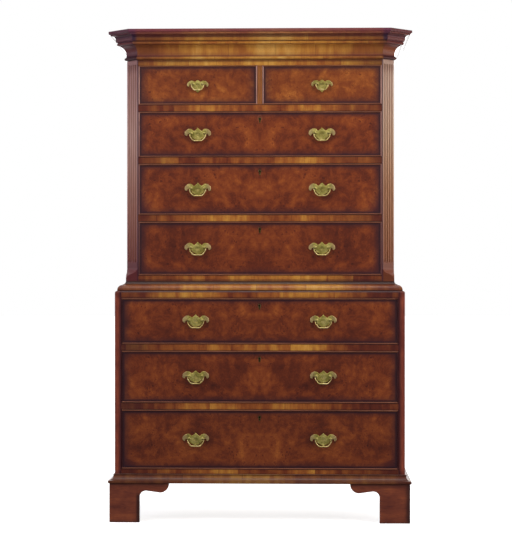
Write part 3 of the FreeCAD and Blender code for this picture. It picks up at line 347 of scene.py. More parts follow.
def band(name, along="x", seed=0.0, low=None, high=None, front=None, reach=0.45, gold=0.0, ends=0.26, length=0.095,
         masks=(), dim=0.0, steps=(), stain=(46, 16, 22), grey=(52, 22, 22), coat=COAT, spec=SPEC, extra=None, veneer=0.0010, tips=0.0,
         polish=None):
    """Crossbanded veneer: short leaves side by side, their grain across the length of the rail or moulding."""
    p = Paint(name, ROUGH - 0.04, coat=coat, coat_rough=COAT_ROUGH, spec=spec)
    s = {"x": p.x, "y": p.y}.get(along)
    if s is None:
        s = p.mul(p.sub(p.x, p.y) if along == "right" else p.add(p.x, p.y), 0.7071)
    w = p.add(p.mul(s, 1.0 / length), seed * 7.31 + 50.0)
    for k, zs in enumerate(steps):
        w = p.add(w, p.mul(p.math("GREATER_THAN", p.z, zs), 11.37 + 3.1 * k))
    leaf = p.red(p.blocks(w))
    leaf2 = p.green(p.blocks(w))
    seam = p.blocks(w, "DISTANCE_TO_EDGE", "Distance")
    q = p.vec(p.add(s, seed), p.mul(p.y, 0.05), p.mul(p.z, 0.06))
    wav = p.mul(p.sub(p.noise(p.vec(p.mul(s, 1.0), 0.0, p.z), 30.0, 2.0), 0.5), 0.004)
    qs = p.vec(p.add(p.add(s, wav), seed), 0.0, p.mul(p.z, 0.05))
    streak = p.noise(qs, 260.0, 3.0, 0.65)
    wide = p.noise(p.vec(p.add(s, seed * 3.0), leaf2, p.mul(p.z, 0.35)), 34.0, 3.0, 0.55)
    glow = p.noise(p.vec(p.add(s, seed * 1.7), 0.3, 0.0), 4.3, 1.0, 0.5)
    pores = p.noise(p.vec(s, p.mul(p.y, 0.2), p.mul(p.z, 0.1)), 1500.0, 1.0, 0.5)
    far = p.remap(p.absolute(p.x), reach * 0.35, reach, 0.0, 1.0) if along == "x" else 0.6
    tone = p.total((leaf, 0.17), (p.remap(wide, 0.3, 0.7, smooth=False), 0.36), (p.remap(glow, 0.3, 0.7, smooth=False), 0.40),
                   (streak, 0.26), (far, -ends), (1.0, -0.02 + gold))
    tone = p.math("ADD", tone, 0.0, clamp=True)
    colour = p.ramp(tone, BAND)
    colour = p.mix(p.remap(pores, 0.58, 0.74, 0.0, 0.4), colour, lin(58, 26, 14))
    colour = p.mix(p.remap(seam, 0.002, 0.012, 0.38, 0.0), colour, lin(44, 18, 14))
    if dim:
        colour = p.mix(dim, colour, lin(*grey))
    corner = p.mul(far, 0.55) if along == "x" else 0.35
    colour = p.mix(p.mul(corner, p.remap(p.noise(q, 9.0, 2.0), 0.3, 0.7, 0.5, 1.0)), colour, lin(66, 24, 24))
    if tips:
        # both ends darken, or only the left one
        run = p.absolute(p.x) if tips > 0.0 else p.mul(p.x, -1.0)
        colour = p.mix(p.remap(run, 0.392, 0.446, 0.0, abs(tips)), colour, lin(58, 22, 26))
    # painted shade: dark along the top and bottom edges, in the joints beside the beads
    if low is not None:
        e = p.math("MINIMUM", p.sub(high, p.z), p.sub(p.z, low))
        colour = p.mix(p.remap(e, 0.0, 0.0042, 0.80, 0.0), colour, lin(40, 16, 18))
    # painted shade: each mask darkens a band of heights, the quirks and hollows, towards the stain colour
    for z0, z1, strength in masks:
        zm, zh = (z0 + z1) / 2.0, (z1 - z0) / 2.0
        m = p.remap(p.absolute(p.sub(p.z, zm)), zh * 0.55, zh * 1.3, strength, 0.0)
        colour = p.mix(m, colour, lin(*stain))
    if extra:
        colour = extra(p, colour)
    if front is not None:
        back = p.remap(p.y, front + veneer, front + veneer + 0.0004, smooth=False)
        colour = p.mix(back, colour, secondary(p, "x"))
    rough = p.total((streak, 0.10), (1.0, 0.33))
    if polish is not None:
        # polished mouldings, dull on the dusty flat above them
        rough = p.add(p.mul(streak, 0.10), p.remap(p.z, CORNICE_TOP - 0.0016, CORNICE_TOP - 0.0006, polish, 0.45))
    height = p.total((pores, 0.5), (streak, 0.9))
    return p.done(colour, rough, p.bump(height, 0.12, 0.0005))


def grained(name, stops, along="z", seed=0.0, figure=0.5, rough=0.42, coat=COAT, scale=1.0, lines=True, bump=0.12,
            edges=None, planks=None, spec=0.5):
    """Straight or gently figured timber with its grain along one axis."""
    p = Paint(name, rough, coat=coat, coat_rough=COAT_ROUGH, spec=spec)
    idx = {"x": 0, "y": 1, "z": 2}[along]
    slow = [1.0, 1.0, 1.0]
    slow[idx] = 0.10
    q = p.vmath("ADD", p.P, (seed * 0.83, seed * 1.31, seed * 0.47))
    drift = p.vmath("SUBTRACT", p.noise(q, 3.2 * scale, 2.0, out="Color"), (0.5, 0.5, 0.5))
    q = p.vmath("ADD", q, p.vmath("SCALE", drift, scale=0.05 / scale))
    g = p.vmath("MULTIPLY", q, tuple(slow))
    rings = p.noise(g, 26.0 * scale, 3.0, 0.55, 0.4)
    waves = p.math("SINE", p.mul(rings, 62.0))
    thin = p.noise(g, 230.0 * scale, 3.0, 0.6)
    slow2 = [1.0, 1.0, 1.0]
    slow2[idx] = 0.035
    pores = p.noise(p.vmath("MULTIPLY", q, tuple(slow2)), 1100.0, 2.0, 0.6)
    cloud = p.noise(q, 5.0 * scale, 3.0, 0.5)
    mott = p.noise(q, 27.0 * scale, 4.0, 0.55)
    tone = p.total((p.remap(rings, 0.3, 0.7, smooth=False), 0.26), (waves, 0.06 if lines else 0.02), (thin, 0.26),
                   (p.remap(cloud, 0.3, 0.7, smooth=False), 0.24), (p.remap(mott, 0.3, 0.7, smooth=False), 0.22 * figure), (1.0, 0.02))
    tone = p.math("ADD", tone, 0.0, clamp=True)
    colour = p.ramp(tone, stops)
    dark = tuple(c * 0.35 for c in stops[0][1][:3]) + (1.0,)
    colour = p.mix(p.remap(pores, 0.56, 0.72, 0.0, 0.5), colour, dark)
    height = p.total((pores, 0.8), (thin, 0.5))
    if planks:
        axis, pitch, offset = planks
        s = {"x": p.x, "y": p.y, "z": p.z}[axis]
        w = p.mul(p.add(s, offset), 1.0 / pitch)
        tint = p.red(p.blocks(w, rand=0.35))
        colour = p.mix(p.remap(tint, 0.0, 1.0, 0.0, 0.30), colour, dark)
        seam = p.blocks(w, "DISTANCE_TO_EDGE", "Distance", rand=0.35)
        gap = p.remap(seam, 0.004, 0.012, 1.0, 0.0)
        colour = p.mix(p.mul(gap, 0.8), colour, lin(24, 16, 12))
        height = p.sub(height, p.mul(gap, 3.0))
    if edges:
        colour = edges(p, colour, q)
    rgh = p.total((thin, 0.12), (1.0, rough - 0.06))
    return p.done(colour, rgh, p.bump(height, bump, 0.0006))


WALNUT = [(0.0, lin(52, 20, 18)), (0.3, lin(84, 36, 26)), (0.6, lin(116, 56, 34)), (0.85, lin(146, 80, 44)), (1.0, lin(170, 104, 62))]
BEADS = [(0.0, lin(92, 48, 34)), (0.5, lin(128, 78, 56)), (1.0, lin(156, 104, 80))]
# painted highlight: pale colours for the upright cockbeads
BEADS_HIGHLIGHTED = [(0.0, lin(142, 102, 94)), (0.5, lin(184, 146, 134)), (1.0, lin(214, 178, 162))]
WALNUT_DARK = [(0.0, lin(34, 14, 16)), (0.35, lin(60, 25, 24)), (0.7, lin(88, 40, 30)), (1.0, lin(118, 60, 38))]
WALNUT_RED = [(0.0, lin(58, 22, 18)), (0.3, lin(96, 40, 26)), (0.6, lin(126, 60, 34)), (0.85, lin(152, 80, 42)), (1.0, lin(172, 100, 56))]
WALNUT_SIDE = [(0.0, lin(46, 18, 13)), (0.3, lin(80, 35, 20)), (0.6, lin(106, 52, 28)), (0.85, lin(130, 71, 37)), (1.0, lin(152, 90, 50))]
GOLD = [(0.0, lin(92, 46, 24)), (0.35, lin(132, 77, 36)), (0.7, lin(160, 102, 48)), (1.0, lin(184, 126, 64))]
OAK = [(0.0, lin(120, 84, 50)), (0.35, lin(152, 112, 70)), (0.7, lin(178, 138, 92)), (1.0, lin(196, 160, 112))]
PINE = [(0.0, lin(110, 74, 42)), (0.35, lin(140, 98, 58)), (0.7, lin(164, 120, 76)), (1.0, lin(184, 144, 98))]


def painted_light_by_height(p, colour, points):
    """Painted highlights and painted shade on the members of a moulding, by their height: points are (z, strength)."""
    low, high = points[0][0], points[-1][0]
    stops = [((z - low) / (high - low), (v / 2.0, v / 2.0, v / 2.0, 1.0)) for z, v in points]
    m = p.ramp(p.remap(p.z, low, high, smooth=False), stops)
    return p.mix(1.0, p.mix(1.0, colour, m, "MULTIPLY"), (2.0, 2.0, 2.0, 1.0), "MULTIPLY")


def flute_shade(p, colour, q):
    """Painted sheen on the reeds between the flutes, pinkish on the left pilaster, tan on the right and fading lower
    down; painted shade in the flutes and above and below them.
    """
    depth = p.sub(0.46245, p.mul(p.sub(p.absolute(p.x), p.y), 0.70711))
    right = p.remap(p.x, -0.01, 0.01)
    t = p.remap(p.z, 0.98, 1.60, smooth=False)
    # painted sheen: pale reflection colours, rose on the left pilaster and tan on the right
    tan = [(0.0, lin(124, 70, 34)), (0.40, lin(156, 112, 76)), (0.71, lin(178, 150, 122)), (1.0, lin(190, 164, 144))]
    rose = [(0.0, lin(112, 53, 52)), (0.40, lin(164, 118, 105)), (0.71, lin(184, 149, 139)), (1.0, lin(162, 124, 120))]
    worn = p.mix(right, p.ramp(t, rose), p.ramp(t, tan))
    streak = p.noise(p.vmath("MULTIPLY", q, (1.0, 1.0, 0.03)), 300.0, 3.0, 0.6)
    colour = p.mix(p.remap(streak, 0.25, 0.75, 0.86, 0.62), colour, worn)
    # painted shade in the flutes
    colour = p.mix(p.remap(depth, 0.0006, 0.0028, 0.0, 0.52), colour, lin(112, 66, 34))
    # painted shade above and below the flutes, purplish on the left and brown on the right
    dark = p.mix(right, lin(80, 26, 29), lin(94, 42, 19))
    ends = p.math("MAXIMUM", p.remap(p.z, 0.9400, 0.9680, 0.90, 0.0), p.remap(p.z, 1.6740, 1.6990, 0.0, 0.75))
    ends = p.math("MAXIMUM", ends, p.remap(p.z, 1.6350, 1.6720, 0.0, 0.44))
    colour = p.mix(ends, colour, dark)
    # painted shade in the gap beside the drawers
    inner = p.remap(p.absolute(p.x), 0.4492, 0.4555, 0.85, 0.0)
    return p.mix(inner, colour, lin(58, 22, 34))


def bead_painted_highlight(p, colour, q):
    """Painted highlight: the upright beads are pale high up, fading to dark on the lower case."""
    t = p.remap(p.z, 0.84, 1.56, smooth=False)
    worn = p.ramp(t, [(0.0, lin(82, 48, 58)), (0.08, lin(132, 98, 102)), (0.5, lin(180, 150, 152)), (0.8, lin(226, 206, 206)), (1.0, lin(244, 232, 230))])
    return p.mix(1.0, colour, worn, "MULTIPLY")


def mitre_shade(p, colour):
    """The cornice darkens towards its mitres, and its members get painted highlights and painted shade by height."""
    near = p.mul(p.remap(p.absolute(p.x), 0.444, 0.458, 0.0, 0.88), p.remap(p.z, 1.756, 1.764, 0.35, 1.0))
    colour = p.mix(near, colour, lin(50, 33, 58))
    colour = p.mix(p.remap(p.z, 1.7760, 1.7880, 0.0, 0.48), colour, lin(122, 56, 72))
    colour = painted_light_by_height(p, colour, [(1.7065, 1.05), (1.7105, 1.25), (1.7150, 1.12), (1.7220, 1.16), (1.7340, 1.32), (1.7430, 1.2),
                              (1.7500, 1.45), (1.7530, 1.1), (1.7570, 0.93), (1.7610, 1.0), (1.7720, 0.9), (1.7850, 1.1),
                              (1.7880, 1.3), (1.7910, 1.08), (1.8045, 0.92)])
    return flat_top(p, colour)


def flat_top(p, colour):
    """The flat upper surface of the cornice, never polished, is as dull and brown as the top board."""
    dull = p.mix(p.remap(p.noise(p.P, 21.0, 5.0, 0.65), 0.36, 0.64), lin(58, 27, 25), lin(104, 58, 43))
    return p.mix(p.remap(p.z, CORNICE_TOP - 0.0011, CORNICE_TOP - 0.0004, 0.0, 0.86), colour, dull)


def cant_shade(p, colour):
    """The canted runs: dark bead at the foot, warmer cove, lilac tone on the upper members; painted shade makes the
    left cant darker and more purple than the right.
    """
    foot = p.remap(p.z, 1.7050, 1.7110, 0.84, 0.0)
    colour = p.mix(foot, colour, lin(44, 16, 24))
    # painted shade: the left cant gets darker, more purple colours than the right
    right = p.remap(p.x, -0.01, 0.01)
    upper = p.mix(right, lin(92, 46, 60), lin(96, 46, 48))
    under = p.mix(right, lin(66, 25, 42), lin(72, 26, 34))
    colour = p.mix(p.remap(p.z, 1.7830, 1.7920, 0.0, 0.35), colour, upper)
    return flat_top(p, p.mix(p.remap(p.z, 1.7480, 1.7540, 0.0, 0.30), colour, under))


def frieze_shade(p, colour):
    return p.mix(p.remap(p.x, 0.300, 0.420, 0.0, 0.42), colour, lin(72, 26, 22))


def stile_edges(p, colour, q):
    """The narrow front edges of the side boards: lightened and turned lilac, with painted shade towards the drawers,
    above the base moulding and under the waist moulding.
    """
    inner = p.remap(p.absolute(p.x), 0.508, 0.520, 0.80, 0.0)
    front = p.remap(p.y, LOW_FRONT + 0.001, LOW_FRONT + 0.004, 1.0, 0.0, smooth=False)
    colour = p.mix(front, colour, p.mix(1.0, colour, (1.62, 1.42, 2.2, 1.0), "MULTIPLY"))
    # painted shade beside the drawers
    colour = p.mix(p.mul(inner, front), colour, lin(40, 15, 24))
    # painted shade above the base moulding and under the waist moulding
    foot = p.remap(p.z, 0.176, 0.200, 0.5, 0.0)
    head = p.remap(p.z, 0.815, 0.843, 0.0, 0.45)
    return p.mix(p.math("MAXIMUM", foot, head), colour, lin(44, 16, 22))


def foot_painted_shade(p, colour, q):
    # painted shade under the base moulding and down the right-hand side of each foot; darker also at the bottom
    top = p.remap(p.z, 0.122, 0.143, 0.0, 0.50)
    low = p.remap(p.z, 0.0, 0.014, 0.60, 0.0)
    left = p.remap(p.absolute(p.add(p.x, 0.4400)), 0.004, 0.015, 0.95, 0.0)
    left = p.mul(left, p.remap(p.z, 0.095, 0.112, 1.0, 0.0))
    right = p.remap(p.x, 0.524, 0.542, 0.0, 0.90)
    m = p.math("MAXIMUM", p.math("MAXIMUM", top, low), p.math("MAXIMUM", left, right))
    return p.mix(p.mul(m, 0.85), colour, lin(40, 15, 13))


def top_dust(p, colour, q):
    worn = p.remap(p.noise(q, 9.0, 4.0, 0.6), 0.42, 0.66, 0.0, 0.35)
    return p.mix(worn, colour, lin(120, 84, 66))


M = {}
M["short_drawer_left"] = burr("burr_short_left", "short_drawer_left", 3.0, 0.17, (1.0, 1.0, 0.95))
M["short_drawer_right"] = burr("burr_short_right", "short_drawer_right", 4.4, 0.20, (1.0, 1.02, 0.95))
M["upper_drawer_top"] = burr("burr_upper_top", "upper_drawer_top", 7.9, 0.055, (1.0, 0.92, 0.92), keyhole_dark=0.1, worn=0.18, diamond=0.06)
M["upper_drawer_middle"] = burr("burr_upper_middle", "upper_drawer_middle", 12.3, 0.055, (1.0, 0.92, 0.95), diamond=0.11, corners=0.6)
M["upper_drawer_bottom"] = burr("burr_upper_bottom", "upper_drawer_bottom", 17.1, 0.025, (1.0, 0.93, 0.97), corners=0.4)
M["lower_drawer_top"] = burr("burr_lower_top", "lower_drawer_top", 21.7, 0.02, (1.0, 0.95, 1.02), cloud=0.28)
M["lower_drawer_middle"] = burr("burr_lower_middle", "lower_drawer_middle", 28.2, -0.015, (1.0, 0.95, 1.02), cloud=0.30)
M["lower_drawer_bottom"] = burr("burr_lower_bottom", "lower_drawer_bottom", 33.6, 0.015, (1.0, 1.0, 1.08), corners=0.35, cloud=0.28)
M["bead_h"] = grained("cockbead_long", BEADS, "x", 2.0, 0.3, 0.46, 0.0, spec=0.16)
M["bead_v"] = grained("cockbead_upright_painted_highlight", BEADS_HIGHLIGHTED, "z", 2.5, 0.3, 0.46, 0.0, spec=0.16, edges=bead_painted_highlight)
M["rail_one"] = band("rail_one", seed=1.0, low=1.503, high=1.529, front=UP_FRONT, gold=-0.06)
M["rail_two"] = band("rail_two", seed=2.2, tips=0.35, low=1.311, high=1.337, front=UP_FRONT, gold=-0.045)
M["rail_three"] = band("rail_three", seed=3.7, tips=0.35, low=1.0985, high=1.1245, front=UP_FRONT, gold=-0.04)
# painted shade: rails four and five darkened above and under the waist moulding, and at rail five's foot
M["rail_four"] = band("rail_four", seed=5.1, low=0.870, high=0.9025, front=UP_FRONT, masks=((0.8680, 0.8880, 0.55),))
M["rail_five"] = band("rail_five", seed=6.4, low=0.816, high=0.856, front=LOW_FRONT, reach=0.52, gold=-0.08, veneer=0.012,
                      masks=((0.8385, 0.8520, 0.90), (0.8160, 0.8235, 0.45)))
M["rail_six"] = band("rail_six", seed=7.8, tips=-0.62, low=0.6255, high=0.651, front=LOW_FRONT, reach=0.52)
M["rail_seven"] = band("rail_seven", seed=9.3, tips=-0.62, low=0.4105, high=0.436, front=LOW_FRONT, reach=0.52)
M["rail_eight"] = band("rail_eight", seed=10.9, low=0.1755, high=0.194, front=LOW_FRONT, reach=0.52, gold=-0.14)
# painted shadow of the cornice across the top of the frieze
M["frieze"] = band("frieze_band", seed=12.0, tips=0.15, extra=frieze_shade, low=1.6690, high=1.7000, front=UP_FRONT, gold=0.20, ends=0.20,
                   masks=((1.6850, 1.7020, 0.66),), stain=(70, 24, 18))
M["upright"] = grained("divider_band", GOLD, "z", 3.0, 0.6, spec=SPEC)
# members of the cornice from the foot up: where each begins, and where painted shade darkens the quirks and hollows;
# the last mask darkens the top member
CS = (1.7065, 1.7470, 1.7585, 1.7832, 1.7885)
CM = [(1.7040, 1.7120, 0.60), (1.7080, 1.7200, 0.18), (1.7455, 1.7487, 0.30), (1.7570, 1.7612, 0.45), (1.7712, 1.7828, 0.62), (1.7885, 1.8040, 0.66)]
M["cornice_x"] = band("cornice_front_band", seed=14.0, masks=CM, steps=CS, reach=0.47, gold=0.09, length=0.15,
                      dim=0.34, grey=(152, 97, 45),
                      stain=(76, 26, 38), extra=mitre_shade)
# painted shade: the left cant is given darker, duller colours than the right
M["cornice_r"] = band("cornice_cant_right_band", "right", seed=15.5, masks=CM, steps=CS, gold=-0.12, dim=0.40, coat=0.0,
                      spec=0.12, stain=(56, 20, 32), grey=(84, 32, 32), extra=cant_shade)
M["cornice_l"] = band("cornice_cant_left_band_painted_shade", "left", seed=16.5, masks=CM, steps=CS, gold=-0.24, dim=0.72, coat=0.0,
                      spec=0.12, stain=(48, 20, 36), grey=(70, 28, 42), extra=cant_shade)
M["cornice_y"] = band("cornice_side_band", "y", seed=17.5, masks=CM, steps=CS, length=0.15, coat=0.0, polish=0.03, spec=0.16,
                      gold=-0.06, dim=0.12, grey=(72, 30, 28), extra=flat_top)
# painted shade: the hollow under the upper case and the quirk under the ovolo of the waist moulding
WM = [(0.8680, 0.8870, 0.92), (0.8400, 0.8480, 0.92)]
M["waist_x"] = band("waist_front_band", seed=19.0, masks=WM, steps=(0.8675,), reach=0.55, gold=-0.02, ends=0.22, length=0.16,
                    dim=0.22, stain=(40, 20, 18), grey=(70, 50, 34), coat=0.06, spec=0.30)
M["waist_y"] = band("waist_side_band", "y", seed=20.0, masks=WM, length=0.16, dim=0.2)
# painted shade in the quirk at the top of the base moulding; its lower member is also darkened
BM = [(0.1715, 0.1765, 0.55), (0.1500, 0.1625, 0.45)]
M["base_x"] = band("base_front_band", seed=21.0, masks=BM, reach=0.6, gold=-0.10, ends=0.15, length=0.17, dim=0.46,
                   stain=(54, 26, 18), grey=(72, 50, 38), coat=0.06, spec=0.30)
M["base_y"] = band("base_side_band", "y", seed=22.0, masks=BM, length=0.17, dim=0.3, grey=(72, 50, 38))
M["pilaster"] = grained("pilaster_walnut_painted_sheen_and_shade", WALNUT, "z", 5.0, 0.5, 0.54, 0.0, edges=flute_shade, spec=0.26)
M["side_up"] = grained("upper_side_veneer", WALNUT_SIDE, "z", 8.0, 0.9, 0.42, 0.06, spec=0.24)
M["side_low"] = grained("lower_side_veneer", WALNUT_SIDE, "z", 9.0, 0.9, 0.42, 0.06, edges=stile_edges, spec=0.24)
M["feet"] = grained("feet_walnut", WALNUT_RED, "x", 11.0, 0.8, 0.40, 0.4, scale=1.3, edges=foot_painted_shade)
M["feet_y"] = grained("feet_walnut_sides", WALNUT_RED, "y", 12.0, 0.8, 0.40, 0.4, scale=1.3)
M["top"] = grained("top_board_walnut", WALNUT_DARK, "x", 13.0, 0.6, 0.50, 0.0, edges=top_dust, spec=0.3)
M["oak_y"] = grained("oak_drawer_sides", OAK, "y", 14.0, 0.5, 0.62, 0.0, bump=0.25)
M["oak_x"] = grained("oak_drawer_bottoms", OAK, "x", 15.0, 0.5, 0.62, 0.0, bump=0.25, planks=("y", 0.14, 0.31))
M["oak_b"] = grained("oak_drawer_backs", OAK, "x", 15.7, 0.5, 0.62, 0.0, bump=0.25)
M["pine_x"] = grained("pine_boards", PINE, "x", 16.0, 0.5, 0.66, 0.0, bump=0.3, planks=("y", 0.16, 0.44))
M["pine_z"] = grained("pine_back_boards", PINE, "z", 17.0, 0.5, 0.66, 0.0, bump=0.3, planks=("x", 0.17, 0.93))
M["pine_y"] = grained("pine_guides", PINE, "y", 18.0, 0.5, 0.66, 0.0, bump=0.3)
M["block"] = grained("glue_blocks", PINE, "z", 19.0, 0.5, 0.70, 0.0, bump=0.3)


PINS = [(a + b) / 2.0 + 0.0035 for a, b, *_ in DRAWERS.values()][1:]


def brass(name, tint=(1.0, 1.0, 1.0), rough=0.42, dirt=0.4, metal=0.7, worn=0.0, post_shade=0.0):
    """Old lacquered brass with small dark spots; a painted highlight on the wings of the plates and painted shade on
    the bails near the posts.
    """
    p = Paint(name, rough, metal=metal)
    c = p.noise(p.P, 60.0, 4.0, 0.6)
    f = p.noise(p.P, 420.0, 4.0, 0.65)
    base = p.ramp(p.remap(p.total((c, 0.6), (f, 0.4)), 0.36, 0.64), [
        (0.0, lin(168, 162, 98)), (0.5, lin(200, 194, 130)), (1.0, lin(226, 220, 164))])
    base = p.mix(1.0, base, (*tint, 1.0), "MULTIPLY")
    if worn:
        # painted highlight: the wings of the plates are pale
        mid = p.remap(p.z, 0.860, 0.8601, 0.233, 0.228, smooth=False)
        wing = p.absolute(p.sub(p.absolute(p.x), mid))
        base = p.mix(p.remap(wing, 0.024, 0.044, 0.0, worn), base, lin(216, 180, 138))
    if post_shade:
        # and painted shade on the bails where they turn in the posts
        near = p.absolute(p.sub(p.z, PINS[0]))
        for z in PINS[1:]:
            near = p.math("MINIMUM", near, p.absolute(p.sub(p.z, z)))
        base = p.mix(p.remap(near, 0.0025, 0.0065, post_shade, 0.0), base, lin(96, 84, 42))
    spots = p.remap(p.noise(p.P, 900.0, 2.0, 0.6), 0.55, 0.70, 0.0, dirt)
    base = p.mix(spots, base, lin(84, 74, 38))
    height = p.total((f, 1.0), (c, 1.2))
    r = p.total((c, 0.25), (1.0, rough - 0.12))
    return p.done(base, r, p.bump(height, 0.35, 0.0008))


M["brass"] = brass("brass_plates", (0.93, 0.84, 0.50), worn=0.62)
M["brass_bail"] = brass("brass_bails", (1.16, 1.0, 0.90), 0.40, 0.2, post_shade=0.75)
M["brass_post"] = brass("brass_posts", (0.66, 0.60, 0.42), 0.52, 0.5)
M["brass_key"] = brass("brass_escutcheon", (0.30, 0.24, 0.20), 0.5, 0.7, metal=0.8)
M["brass_old"] = brass("brass_lock", (0.36, 0.30, 0.22), 0.45, 0.7, metal=0.9)
M["iron"] = brass("iron_nuts", (0.16, 0.16, 0.22), 0.5, 0.8, metal=0.9)

# ---------------------------------------------------------------------------------------------
# Meshes
# ---------------------------------------------------------------------------------------------


def solids(node):
    """The node's solids, in order: (points, faces). A solid ends where every edge has met its partner."""
    me = nodes[node].data
    pts, out = {}, []
    places, faces, open_edges = [], [], {}
    co = [v.co for v in me.vertices]
    key = [(round(c[0] * 1e5), round(c[1] * 1e5), round(c[2] * 1e5)) for c in co]
    for poly in me.polygons:
        ring = []
        for i in poly.vertices:
            k = key[i]
            if k not in pts:
                pts[k] = len(places)
                places.append(co[i].copy())
            ring.append(pts[k])
        if len(set(ring)) < 3:
            continue
        faces.append(ring)
        for a, b in zip(ring, ring[1:] + ring[:1]):
            if open_edges.get((b, a), 0):
                open_edges[(b, a)] -= 1
                if not open_edges[(b, a)]:
                    del open_edges[(b, a)]
            else:
                open_edges[(a, b)] = open_edges.get((a, b), 0) + 1
        if not open_edges:
            out.append((places, faces))
            pts, places, faces = {}, [], []
    if faces:
        out.append((places, faces))
    return out


def soften(places, faces, width, angle=28.0, segments=2, flat=0.35):
    """A bmesh of one solid: flats made whole, outward arrises eased, inward corners kept crisp."""
    bm = bmesh.new()
    vs = [bm.verts.new(p) for p in places]
    for f in faces:
        try:
            bm.faces.new([vs[i] for i in f])
        except ValueError:
            pass
    bmesh.ops.remove_doubles(bm, verts=bm.verts, dist=1e-6)
    bmesh.ops.dissolve_limit(bm, angle_limit=math.radians(flat), verts=bm.verts, edges=bm.edges)
    bm.normal_update()
    if width:
        sharp = [e for e in bm.edges if e.is_manifold and e.is_convex and e.calc_face_angle(0.0) > math.radians(angle)]
        if sharp:
            bmesh.ops.bevel(bm, geom=sharp, offset=width, offset_type="OFFSET", segments=segments, profile=0.6,
                            affect="EDGES", clamp_overlap=True, harden_normals=False)
    bm.normal_update()
    for f in bm.faces:
        f.smooth = True
    for e in bm.edges:
        e.smooth = not (e.is_manifold and e.calc_face_angle(0.0) > math.radians(48.0))
    return bm


def gather(name, parts, body, stands_for=(), weighted=True):
    """One object out of (bmesh or (points, faces), material) pairs."""
    me = bpy.data.meshes.new(name)
    total = bmesh.new()
    mats = []
    for bm, mat in parts:
        if mat not in mats:
            mats.append(mat)
        idx = mats.index(mat)
        for f in bm.faces:
            f.material_index = idx
        tmp = bpy.data.meshes.new("part")
        bm.to_mesh(tmp)
        bm.free()
        total.from_mesh(tmp)
        bpy.data.meshes.remove(tmp)
    total.to_mesh(me)
    total.free()
    for m in mats:
        me.materials.append(m)
    o = bpy.data.objects.new(name, me)
    bpy.context.scene.collection.objects.link(o)
    if weighted:
        w = o.modifiers.new("normals", "WEIGHTED_NORMAL")
        w.keep_sharp, w.weight, w.mode = True, 60, "FACE_AREA"
    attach(o, body)
    if stands_for:
        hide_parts(*stands_for)
    return o


def rework(node, body, slot, chosen, name=None, width=0.0005, **more):
    """The node's own solids with eased arrises and a material for each: chosen(i, points) gives it."""
    parts = []
    for i, (places, faces) in enumerate(solids(node)):
        m = chosen(i, places)
        wd = width
        if isinstance(m, tuple):
            m, wd = m
        parts.append((soften(places, faces, wd, **more), m))
    return gather(name or node + "_finished", parts, body, [node])


def dress(node, mat, width=0.0006):
    """A node whose shape is right as it is: its own mesh with eased arrises and a better material."""
    o = nodes[node]
    for s in o.material_slots:
        s.material = mat
    w = o.modifiers.new("weld", "WELD")
    w.merge_threshold = 1e-5
    b = o.modifiers.new("arris", "BEVEL")
    b.width, b.segments, b.limit_method, b.angle_limit = width, 2, "ANGLE", math.radians(30)
    b.profile = 0.6
    n = o.modifiers.new("normals", "WEIGHTED_NORMAL")
    n.keep_sharp, n.weight = True, 60
    return o


# Carcase ---------------------------------------------------------------------------------------
for side in ("left", "right"):
    dress("upper_side_" + side, M["side_up"])
    rework("lower_side_" + side, "carcase", "walnut", lambda i, p: M["side_low"])
    rework("corner_pilaster_" + side, "carcase", "walnut", lambda i, p: M["pilaster"], width=0.0005, angle=34.0)
dress("upper_top_board", M["top"])
dress("upper_bottom_board", M["pine_x"])
dress("upper_back_panel", M["pine_z"])
dress("lower_top_board", M["pine_x"])
dress("lower_bottom_board", M["pine_x"])
dress("lower_back_panel", M["pine_z"])
dress("frieze_rail", M["frieze"], 0.0004)

up = ["rail_one", "pine_x", "rail_two", "pine_x", "rail_three", "pine_x", "rail_four"] + ["pine_y"] * 8
rework("upper_divider_frames", "carcase", "walnut_crossband", lambda i, p: M[up[i]] if i < len(up) else M["oak_b"])
low = ["rail_five", "rail_six", "pine_x", "rail_seven", "pine_x", "rail_eight"]
rework("lower_divider_frames", "carcase", "walnut_crossband", lambda i, p: M[low[i]] if i < len(low) else M["oak_b"])
rework("short_drawer_divider", "carcase", "walnut_crossband", lambda i, p: M["upright"] if i == 0 else M["pine_y"])
corn = ["cornice_x", "cornice_r", "cornice_y", "cornice_l", "cornice_y"]
rework("cornice_moulding", "carcase", "walnut_crossband", lambda i, p: M[corn[i]], width=0.0004, angle=24.0)
rework("waist_moulding", "carcase", "walnut_crossband", lambda i, p: M["waist_x" if i == 0 else "waist_y"], width=0.0004, angle=24.0)
rework("base_moulding", "carcase", "walnut_crossband", lambda i, p: M["base_x" if i == 0 else "base_y"], width=0.0004, angle=24.0)
ft = ["feet", "feet_y", "feet", "feet_y", "block", "block"]
rework("front_bracket_feet", "carcase", "walnut", lambda i, p: (M[ft[i]], 0.0022 if i < 4 else 0.0008), segments=3)
rt = ["feet_y", "feet_y", "pine_x", "pine_x", "block", "block"]
rework("rear_bracket_feet", "carcase", "walnut", lambda i, p: (M[rt[i]], 0.0022 if i < 2 else 0.0008), segments=3)

